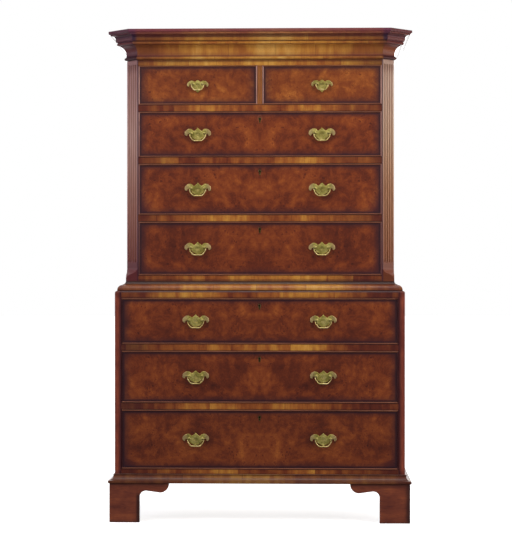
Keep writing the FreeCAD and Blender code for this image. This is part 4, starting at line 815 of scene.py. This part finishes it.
# Handles ---------------------------------------------------------------------------------------
LARGE_PLATE = [
    (0.0, 20.5, 5.2, 15.6),
    (10.6, 11.2, 13.4, 9.4),
    (16.8, 10.4, 21.8, 14.8),
    (28.4, 16.6, 36.4, 15.6),
    (43.0, 10.8, 46.8, 7.0),
    (48.0, 1.6, 47.6, -4.6),
    (43.6, -8.6, 40.6, -8.9),
    (38.6, -6.4, 37.0, -2.0),
    (33.6, -1.4, 30.6, -3.4),
    (28.0, -7.4),
    (24.2, -8.6, 21.6, -14.0),
    (16.2, -19.2),
    (13.0, -20.2, 9.0, -22.8),
    (4.2, -23.6),
]
LARGE_TIP = (0.0, -26.4)
SMALL_PLATE = [
    (0.0, 14.6, 4.0, 13.4),
    (7.0, 10.6, 9.8, 9.0),
    (13.0, 9.6, 16.6, 11.8),
    (22.0, 12.4, 28.6, 11.4),
    (34.0, 7.4, 37.4, 4.2),
    (38.8, -0.2, 38.6, -5.4),
    (35.6, -8.6, 33.2, -8.6),
    (31.8, -6.0, 30.2, -1.6),
    (27.6, -1.0, 24.6, -2.4),
    (22.4, -5.8),
    (19.2, -7.0, 17.2, -12.2),
    (12.4, -16.6),
    (8.8, -17.6, 7.2, -21.0),
    (6.6, -23.6, 4.8, -26.8),
    (2.2, -29.4),
]
SMALL_TIP = (0.0, -32.0)


def arc_points(a, m, b, n):
    """n points from a towards b (b left out) on the circle through a, m and b."""
    (ax, ay), (mx, my), (bx, by) = a, m, b
    d = 2.0 * (ax * (my - by) + mx * (by - ay) + bx * (ay - my))
    if abs(d) < 1e-9:
        return [(ax + (bx - ax) * i / n, ay + (by - ay) * i / n) for i in range(n)]
    sa, sm, sb = ax * ax + ay * ay, mx * mx + my * my, bx * bx + by * by
    cx = (sa * (my - by) + sm * (by - ay) + sb * (ay - my)) / d
    cy = (sa * (bx - mx) + sm * (ax - bx) + sb * (mx - ax)) / d
    r = math.hypot(ax - cx, ay - cy)
    t0, tm, t1 = (math.atan2(y - cy, x - cx) for x, y in ((ax, ay), (mx, my), (bx, by)))
    full = 2.0 * math.pi
    ccw = (tm - t0) % full < (t1 - t0) % full
    turn = (t1 - t0) % full if ccw else -((t0 - t1) % full)
    return [(cx + r * math.cos(t0 + turn * i / n), cy + r * math.sin(t0 + turn * i / n)) for i in range(n)]


def plate_outline(half, tip, n=6):
    """Clockwise from the top peak, in millimetres."""
    right = []
    ends = [tuple(v[:2]) for v in half] + [tip]
    for i, v in enumerate(half):
        a, b = ends[i], ends[i + 1]
        right += arc_points(a, (v[2], v[3]), b, n) if len(v) == 4 else [a]
    left = [(-x, z) for x, z in reversed(right[1:])]
    return right + [tip] + left


def inset(ring, d):
    """The clockwise ring moved inwards by d, with short mitres."""
    out, n = [], len(ring)
    for i in range(n):
        a, b, c = ring[i - 1], ring[i], ring[(i + 1) % n]
        u = Vector((b[0] - a[0], b[1] - a[1])).normalized()
        w = Vector((c[0] - b[0], c[1] - b[1])).normalized()
        n1, n2 = Vector((u[1], -u[0])), Vector((w[1], -w[0]))
        m = n1 + n2
        if m.length < 1e-6:
            m = n1
        m.normalize()
        k = min(1.0 / max(m.dot(n1), 0.2), 1.9)
        out.append((b[0] + m[0] * d * k, b[1] + m[1] * d * k))
    return out


def plate_mesh(outline, at):
    """Cast backplate: rounded edge, an engraved line inside it and a flat field."""
    bm = bmesh.new()
    steps = [(0.0, 0.0), (0.0, 0.95), (0.18, 1.35), (0.55, 1.60), (1.35, 1.60), (1.60, 1.22), (1.95, 1.22), (2.20, 1.60)]
    x0, y0, z0 = at
    rings = []
    for d, h in steps:
        ring = inset(outline, d) if d else outline
        rings.append([bm.verts.new((x0 + x / 1000.0, y0 - h / 1000.0, z0 + z / 1000.0)) for x, z in ring])
    for a, b in zip(rings, rings[1:]):
        for i in range(len(a)):
            j = (i + 1) % len(a)
            bm.faces.new((a[i], b[i], b[j], a[j]))
    for ring in (rings[0], rings[-1]):
        for t in tessellate_polygon([[v.co for v in ring]]):
            try:
                bm.faces.new([ring[k] for k in t])
            except ValueError:
                pass
    bmesh.ops.recalc_face_normals(bm, faces=bm.faces)
    bmesh.ops.dissolve_limit(bm, angle_limit=math.radians(0.2), verts=[v for r in (rings[0], rings[-1]) for v in r],
                             edges=[e for e in bm.edges if all(abs(f.normal.y) > 0.999 for f in e.link_faces)])
    bm.normal_update()
    for f in bm.faces:
        f.smooth = True
    for e in bm.edges:
        e.smooth = not (e.is_manifold and e.calc_face_angle(0.0) > math.radians(50.0))
    return bm


def tube(points, radii, ring=10, across=Vector((0, 1, 0)), cap=True):
    """A rod along points in one plane whose normal is across."""
    bm = bmesh.new()
    rings = []
    for i, p in enumerate(points):
        a, b = points[max(i - 1, 0)], points[min(i + 1, len(points) - 1)]
        t = (b - a).normalized()
        side = across.cross(t).normalized()
        rings.append([bm.verts.new(p + (side * math.cos(k * 2 * math.pi / ring) + across * math.sin(k * 2 * math.pi / ring)) * radii[i])
                      for k in range(ring)])
    for a, b in zip(rings, rings[1:]):
        for k in range(ring):
            j = (k + 1) % ring
            bm.faces.new((a[k], a[j], b[j], b[k]))
    if cap:
        for r, p, s in ((rings[0], points[0], -1), (rings[-1], points[-1], 1)):
            bm.faces.new(r)
    bmesh.ops.recalc_face_normals(bm, faces=bm.faces)
    for f in bm.faces:
        f.smooth = True
    bm.normal_update()
    for e in bm.edges:
        e.smooth = not (e.is_manifold and e.calc_face_angle(0.0) > math.radians(50.0))
    return bm


def lathe(profile, at, segments=22):
    """Turning about an axis along Y: profile is (radius, distance out of the face), millimetres."""
    bm = bmesh.new()
    x0, y0, z0 = at
    rings = []
    for r, out in profile:
        if r < 1e-6:
            rings.append([bm.verts.new((x0, y0 - out / 1000.0, z0))])
        else:
            rings.append([bm.verts.new((x0 + r / 1000.0 * math.cos(2 * math.pi * k / segments), y0 - out / 1000.0,
                                        z0 + r / 1000.0 * math.sin(2 * math.pi * k / segments))) for k in range(segments)])
    for a, b in zip(rings, rings[1:]):
        for k in range(segments):
            j = (k + 1) % segments
            if len(a) == 1:
                bm.faces.new((a[0], b[k], b[j]))
            elif len(b) == 1:
                bm.faces.new((a[k], b[0], a[j]))
            else:
                bm.faces.new((a[k], b[k], b[j], a[j]))
    bmesh.ops.recalc_face_normals(bm, faces=bm.faces)
    bm.normal_update()
    for f in bm.faces:
        f.smooth = True
    for e in bm.edges:
        e.smooth = not (e.is_manifold and e.calc_face_angle(0.0) > math.radians(50.0))
    return bm


POST = [
    (0.0, -25.6), (2.1, -25.6), (2.5, -25.2), (2.5, 1.0), (5.3, 1.0), (5.6, 1.25), (5.6, 1.95), (5.35, 2.3), (4.7, 2.5), (4.3, 2.7), (4.1, 3.0),
    (3.3, 3.7), (2.8, 4.8), (2.7, 6.0), (2.75, 7.3), (3.0, 8.2), (3.0, 8.7), (3.45, 9.2), (3.78, 9.9), (3.8, 11.0), (3.8, 15.0),
    (3.7, 15.5), (3.35, 15.8), (3.3, 16.05), (2.9, 16.6), (2.1, 17.15), (1.1, 17.5), (0.0, 17.6),
]


def bail_path(spacing, drop, flat):
    """Filleted centre line of a bail in millimetres, hinge axis at z = 0."""
    xt = spacing + 3.8 + 2.0 + 0.35
    pts = [(xt - 2.1, 0.0), (xt + 1.0, 0.0), (xt - drop * 0.095, -drop * 0.5), (flat + 4.5, -drop)]
    pts = pts + [(-x, z) for x, z in reversed(pts)]
    radii = [2.15, drop * 0.64, drop * 0.5, drop * 0.5, drop * 0.64, 2.15]
    out = [Vector(pts[0])]
    for i in range(1, len(pts) - 1):
        p, a, b = Vector(pts[i]), Vector(pts[i - 1]), Vector(pts[i + 1])
        u, w = (a - p).normalized(), (b - p).normalized()
        half = (math.pi - u.angle(w)) / 2.0
        back = radii[i - 1] * math.tan(half)
        start, stop = p + u * back, p + w * back
        mid_dir = (u + w).normalized()
        centre = p + mid_dir * (radii[i - 1] / math.cos(half))
        mid = centre - mid_dir * radii[i - 1]
        steps = max(4, int(math.degrees(half) * 2 / 9.0))
        gap = (start - out[-1]).length
        for k in range(1, max(1, int(gap / 1.6))):
            out.append(out[-1].lerp(start, 1.0 / (max(1, int(gap / 1.6)) - k + 1)))
        out += [Vector(q) for q in arc_points(tuple(start), tuple(mid), tuple(stop), steps)]
        out.append(stop.copy())
    last = Vector(pts[-1])
    out.append(last)
    clean = [out[0]]
    for q in out[1:]:
        if (q - clean[-1]).length > 0.05:
            clean.append(q)
    return clean


def bail_mesh(at, spacing, drop, flat):
    """Cast bail: the rod swells towards the grip, which has a small knop at each end of it."""
    x0, y0, z0 = at
    path = bail_path(spacing, drop, flat)
    pts = [Vector((x0 + q[0] / 1000.0, y0, z0 + q[1] / 1000.0)) for q in path]
    knop = flat + 1.0
    radii = []
    for q in path:
        r = 1.72
        if q[1] < -drop * 0.55:
            r = 1.72 + 0.45 * min(1.0, (-q[1] - drop * 0.55) / (drop * 0.4))
        d = abs(abs(q[0]) - knop)
        if q[1] < -drop * 0.8 and d < 1.6:
            r = max(r, 2.75 - 0.55 * (d / 0.9) ** 2)
        if abs(q[0]) < knop - 2.0 and q[1] < -drop * 0.8:
            r = 2.05 + 0.30 * (1.0 - (abs(q[0]) / knop) ** 2)
        if q[1] > -3.0:
            r = 1.98
        radii.append(r / 1000.0)
    parts = [tube(pts, radii, 12)]
    for s in (1, -1):
        a = Vector((x0 + s * (spacing - 3.0) / 1000.0, y0, z0))
        b = Vector((x0 + s * (spacing + 5.4) / 1000.0, y0, z0))
        n = 4
        line = [a.lerp(b, k / n) for k in range(n + 1)]
        parts.append(tube(line, [0.00175] * (n + 1), 12))
    return parts


def ornament(at, k):
    """Chased work on the plate: a ringed rosette between the posts and a plain scroll in each wing."""
    x0, y0, z0 = at
    out = []

    def line(points, r0, r1=None, ring=6):
        pts = [Vector((x0 + x / 1000.0, y0 - 1.58 / 1000.0, z0 + z / 1000.0)) for x, z in points]
        n = len(pts)
        rr = [(r0 + ((r1 if r1 is not None else r0) - r0) * i / (n - 1)) / 1000.0 for i in range(n)]
        out.append(tube(pts, rr, ring))

    def dot(x, z, r):
        out.append(lathe([(0.0, 1.2), (r, 1.2), (r, 1.55), (r * 0.8, 1.85), (r * 0.45, 2.05), (0.0, 2.12)],
                         (x0 + x / 1000.0, y0, z0 + z / 1000.0), 10))

    cz = -5.0 * k
    for rad, thick in ((8.2 * k, 0.42), (5.4 * k, 0.30)):
        pts = [(rad * math.cos(a * math.pi / 16), cz + rad * math.sin(a * math.pi / 16)) for a in range(33)]
        line(pts, thick)
    dot(0.0, cz, 1.5 * k)
    for i in range(8):
        a = i * math.pi / 4
        dot(3.4 * k * math.cos(a), cz + 3.4 * k * math.sin(a), 0.85 * k)
    for i in range(16):
        a = (i + 0.5) * math.pi / 8
        dot(6.8 * k * math.cos(a), cz + 6.8 * k * math.sin(a), 0.45 * k)
    for s in (1, -1):
        # scroll in the wing
        pts = []
        for i in range(26):
            t = i / 25.0
            a = math.radians(200 - 430 * t)
            r = 4.3 * k * (1.0 - 0.72 * t)
            pts.append((s * (38.6 * k + r * math.cos(a)), 7.0 * k + r * math.sin(a)))
        line(pts, 0.42, 0.26)
        line([(s * (12.4 + 1.5 * i) * k, (-10.4 - 1.0 * i + 0.16 * i * i) * k) for i in range(5)], 0.36, 0.2)
        line([(s * (8.0 + 1.4 * i) * k, (-16.6 + 0.75 * i) * k) for i in range(5)], 0.34, 0.2)
        line([(s * (4.0 + 2.0 * i) * k, (6.6 - 0.35 * i) * k) for i in range(4)], 0.34, 0.2)
        for x, z in ((13.6, 6.0), (31.0, 8.4), (44.2, -2.6), (16.2, -14.2)):
            dot(s * x * k, z * k, 0.75 * k)
    dot(0.0, 8.6 * k, 1.1 * k)
    line([(-2.6 * k, -17.0 * k), (0.0, -18.8 * k), (2.6 * k, -17.0 * k)], 0.36)
    dot(0.0, -21.4 * k, 0.9 * k)
    return out


outline_large = plate_outline(LARGE_PLATE, LARGE_TIP)
outline_small = plate_outline(SMALL_PLATE, SMALL_TIP)

# Drawers ---------------------------------------------------------------------------------------
for d, (low_z, high_z, half, cx, face, hx, large) in DRAWERS.items():
    front_mats = [M[d], M["bead_h"], M["bead_h"], M["bead_v"], M["bead_v"]]
    rework(d + "_front", d, "walnut_burr", lambda i, p: (front_mats[i], 0.0004 if i == 0 else 0.00025), angle=30.0)
    box_mats = [M["oak_y"], M["oak_y"], M["oak_b"], M["oak_x"]]
    rework(d + "_box", d, "oak", lambda i, p: box_mats[i], width=0.0006)
    mid = (low_z + high_z) / 2.0 + 0.0035
    parts = []
    spacing, drop, flat = (24.0, 27.5, 12.0) if large else (17.0, 22.0, 9.0)
    for x in hx:
        at = (x, face, mid)
        parts.append((plate_mesh(outline_large if large else outline_small, at), M["brass"]))
        for bm in ornament(at, 1.0 if large else 0.80):
            parts.append((bm, M["brass_bail"]))
        for s in (1, -1):
            parts.append((lathe(POST, (x + s * spacing / 1000.0, face, mid)), M["brass_post"]))
    kept = solids(d + "_brasses")
    per = 5
    for h in range(len(hx)):
        for i in (2, 4):
            parts.append((soften(*kept[h * per + i], 0.0006), M["iron"]))
    if large:
        base = per * len(hx)
        parts.append((soften(*kept[base], 0.0007), M["brass_old"]))
        parts.append((soften(*kept[base + 1], 0.0003), M["iron"]))
        parts.append((soften(*kept[base + 2], 0.0002), M["brass_key"]))
    gather(d + "_brassware", parts, d, [d + "_brasses"], weighted=False)
    names = ["_bail"] if not large else ["_bail_left", "_bail_right"]
    for suffix, x in zip(names, hx):
        body = d + suffix
        gather(body + "_cast", [(bm, M["brass_bail"]) for bm in bail_mesh((x, face - 0.013, mid), spacing, drop, flat)],
               body, [body], weighted=False)

# ---------------------------------------------------------------------------------------------
# Studio: pale floor, soft light, camera
# ---------------------------------------------------------------------------------------------
fp = Paint("studio_floor", 0.7)
dist = fp.math("SQRT", fp.add(fp.mul(fp.x, fp.x), fp.mul(fp.y, fp.y)))
# painted shadow: the floor glows less near the chest
glow = fp.remap(dist, 0.7, 2.4, 0.76, 1.0)
cl = fp.noise(fp.P, 2.0, 2.0)
fp.put(fp.b.inputs["Base Color"], fp.mix(cl, (0.66, 0.665, 0.67, 1.0), (0.68, 0.68, 0.68, 1.0)))
fp.b.inputs["Emission Color"].default_value = (1.0, 1.0, 1.0, 1.0)
fp.put(fp.b.inputs["Emission Strength"], glow)
bm = bmesh.new()
bmesh.ops.create_circle(bm, cap_ends=True, segments=96, radius=30.0)
me = bpy.data.meshes.new("floor")
bm.to_mesh(me)
bm.free()
me.materials.append(fp.mat)
floor = bpy.data.objects.new("floor", me)
floor.location = (0, 0, -0.0005)
bpy.context.scene.collection.objects.link(floor)
floor.visible_glossy = floor.visible_diffuse = False


def panel(name, at, target, width, height, power, colour=(1, 1, 1)):
    light = bpy.data.lights.new(name, "AREA")
    light.shape, light.size, light.size_y = "RECTANGLE", width, height
    light.energy, light.color = power, colour
    o = bpy.data.objects.new(name, light)
    o.location = at
    o.rotation_mode = "QUATERNION"
    o.rotation_quaternion = (Vector(target) - Vector(at)).to_track_quat("-Z", "Y")
    bpy.context.scene.collection.objects.link(o)
    return o


panel("key_left", (-2.3, -3.0, 3.3), (0.0, -0.2, 1.35), 1.2, 1.2, 50, (1.0, 0.985, 0.96))
panel("key_right", (2.5, -3.0, 3.2), (0.0, -0.2, 1.30), 1.2, 1.2, 58, (1.0, 0.985, 0.96))
panel("side_left", (-2.4, -0.50, 1.45), (0.0, -0.2, 1.35), 1.3, 1.1, 20, (0.90, 0.90, 1.0))
panel("side_right", (2.4, -0.50, 1.35), (0.0, -0.2, 1.25), 1.5, 1.3, 34, (1.0, 0.97, 0.95))
panel("strip_left", (-2.7, -1.9, 1.35), (0.0, -0.2, 1.25), 0.5, 1.3, 10, (0.93, 0.90, 1.0))
panel("strip_right", (2.8, -1.9, 1.30), (0.0, -0.2, 1.20), 0.5, 1.3, 11, (1.0, 0.96, 0.98))
panel("over", (0.0, -1.1, 3.9), (0.0, -0.2, 1.0), 2.2, 1.2, 48)
panel("back", (0.0, 3.4, 2.4), (0.0, 0.2, 1.0), 3.0, 2.0, 30)

world = bpy.data.worlds.new("studio")
bpy.context.scene.world = world
world.use_nodes = True
wt = world.node_tree
wt.nodes.clear()


def wnode(kind, **values):
    n = wt.nodes.new(kind)
    for key, value in values.items():
        n.inputs[key].default_value = value
    return n


# white wall behind the chest, a dim room in front of it; bounce light is a little fuller than what shines back
wo = wnode("ShaderNodeOutputWorld")
seen = wnode("ShaderNodeBackground", Color=(1, 1, 1, 1), Strength=1.0)
way = wnode("ShaderNodeTexCoord")
cut = wnode("ShaderNodeSeparateXYZ")
side = wnode("ShaderNodeMapRange")
for i, value in enumerate((0.30, 0.62, 0.0, 1.0)):
    side.inputs[i + 1].default_value = value
path = wnode("ShaderNodeLightPath")
wt.links.new(way.outputs["Generated"], cut.inputs[0])
wt.links.new(cut.outputs[1], side.inputs[0])


def surround(room_colour, room_strength, wall_strength):
    room = wnode("ShaderNodeBackground", Color=room_colour, Strength=room_strength)
    wall = wnode("ShaderNodeBackground", Color=(1, 1, 1, 1), Strength=wall_strength)
    both = wnode("ShaderNodeMixShader")
    wt.links.new(side.outputs[0], both.inputs[0])
    wt.links.new(room.outputs[0], both.inputs[1])
    wt.links.new(wall.outputs[0], both.inputs[2])
    return both.outputs[0]


def choose(flag, a, b):
    m = wnode("ShaderNodeMixShader")
    wt.links.new(path.outputs[flag], m.inputs[0])
    wt.links.new(a, m.inputs[1])
    wt.links.new(b, m.inputs[2])
    return m.outputs[0]


soft = surround((0.92, 0.93, 1.0, 1), 0.26, 0.8)
shine = surround((0.80, 0.82, 1.0, 1), 0.09, 1.8)
both = choose("Is Glossy Ray", soft, shine)
wt.links.new(choose("Is Camera Ray", both, seen.outputs[0]), wo.inputs[0])

cam_data = bpy.data.cameras.new("camera")
cam_data.lens, cam_data.sensor_width, cam_data.sensor_fit = 117.83, 36.0, "AUTO"
cam_data.clip_start, cam_data.clip_end = 0.05, 100.0
cam = bpy.data.objects.new("camera", cam_data)
cam.location = (0.205, -6.737, 0.9138)
cam.rotation_euler = (math.radians(90.0), 0.0, math.radians(1.92))
bpy.context.scene.collection.objects.link(cam)
bpy.context.scene.camera = cam
bpy.context.scene.view_settings.view_transform = "Standard"
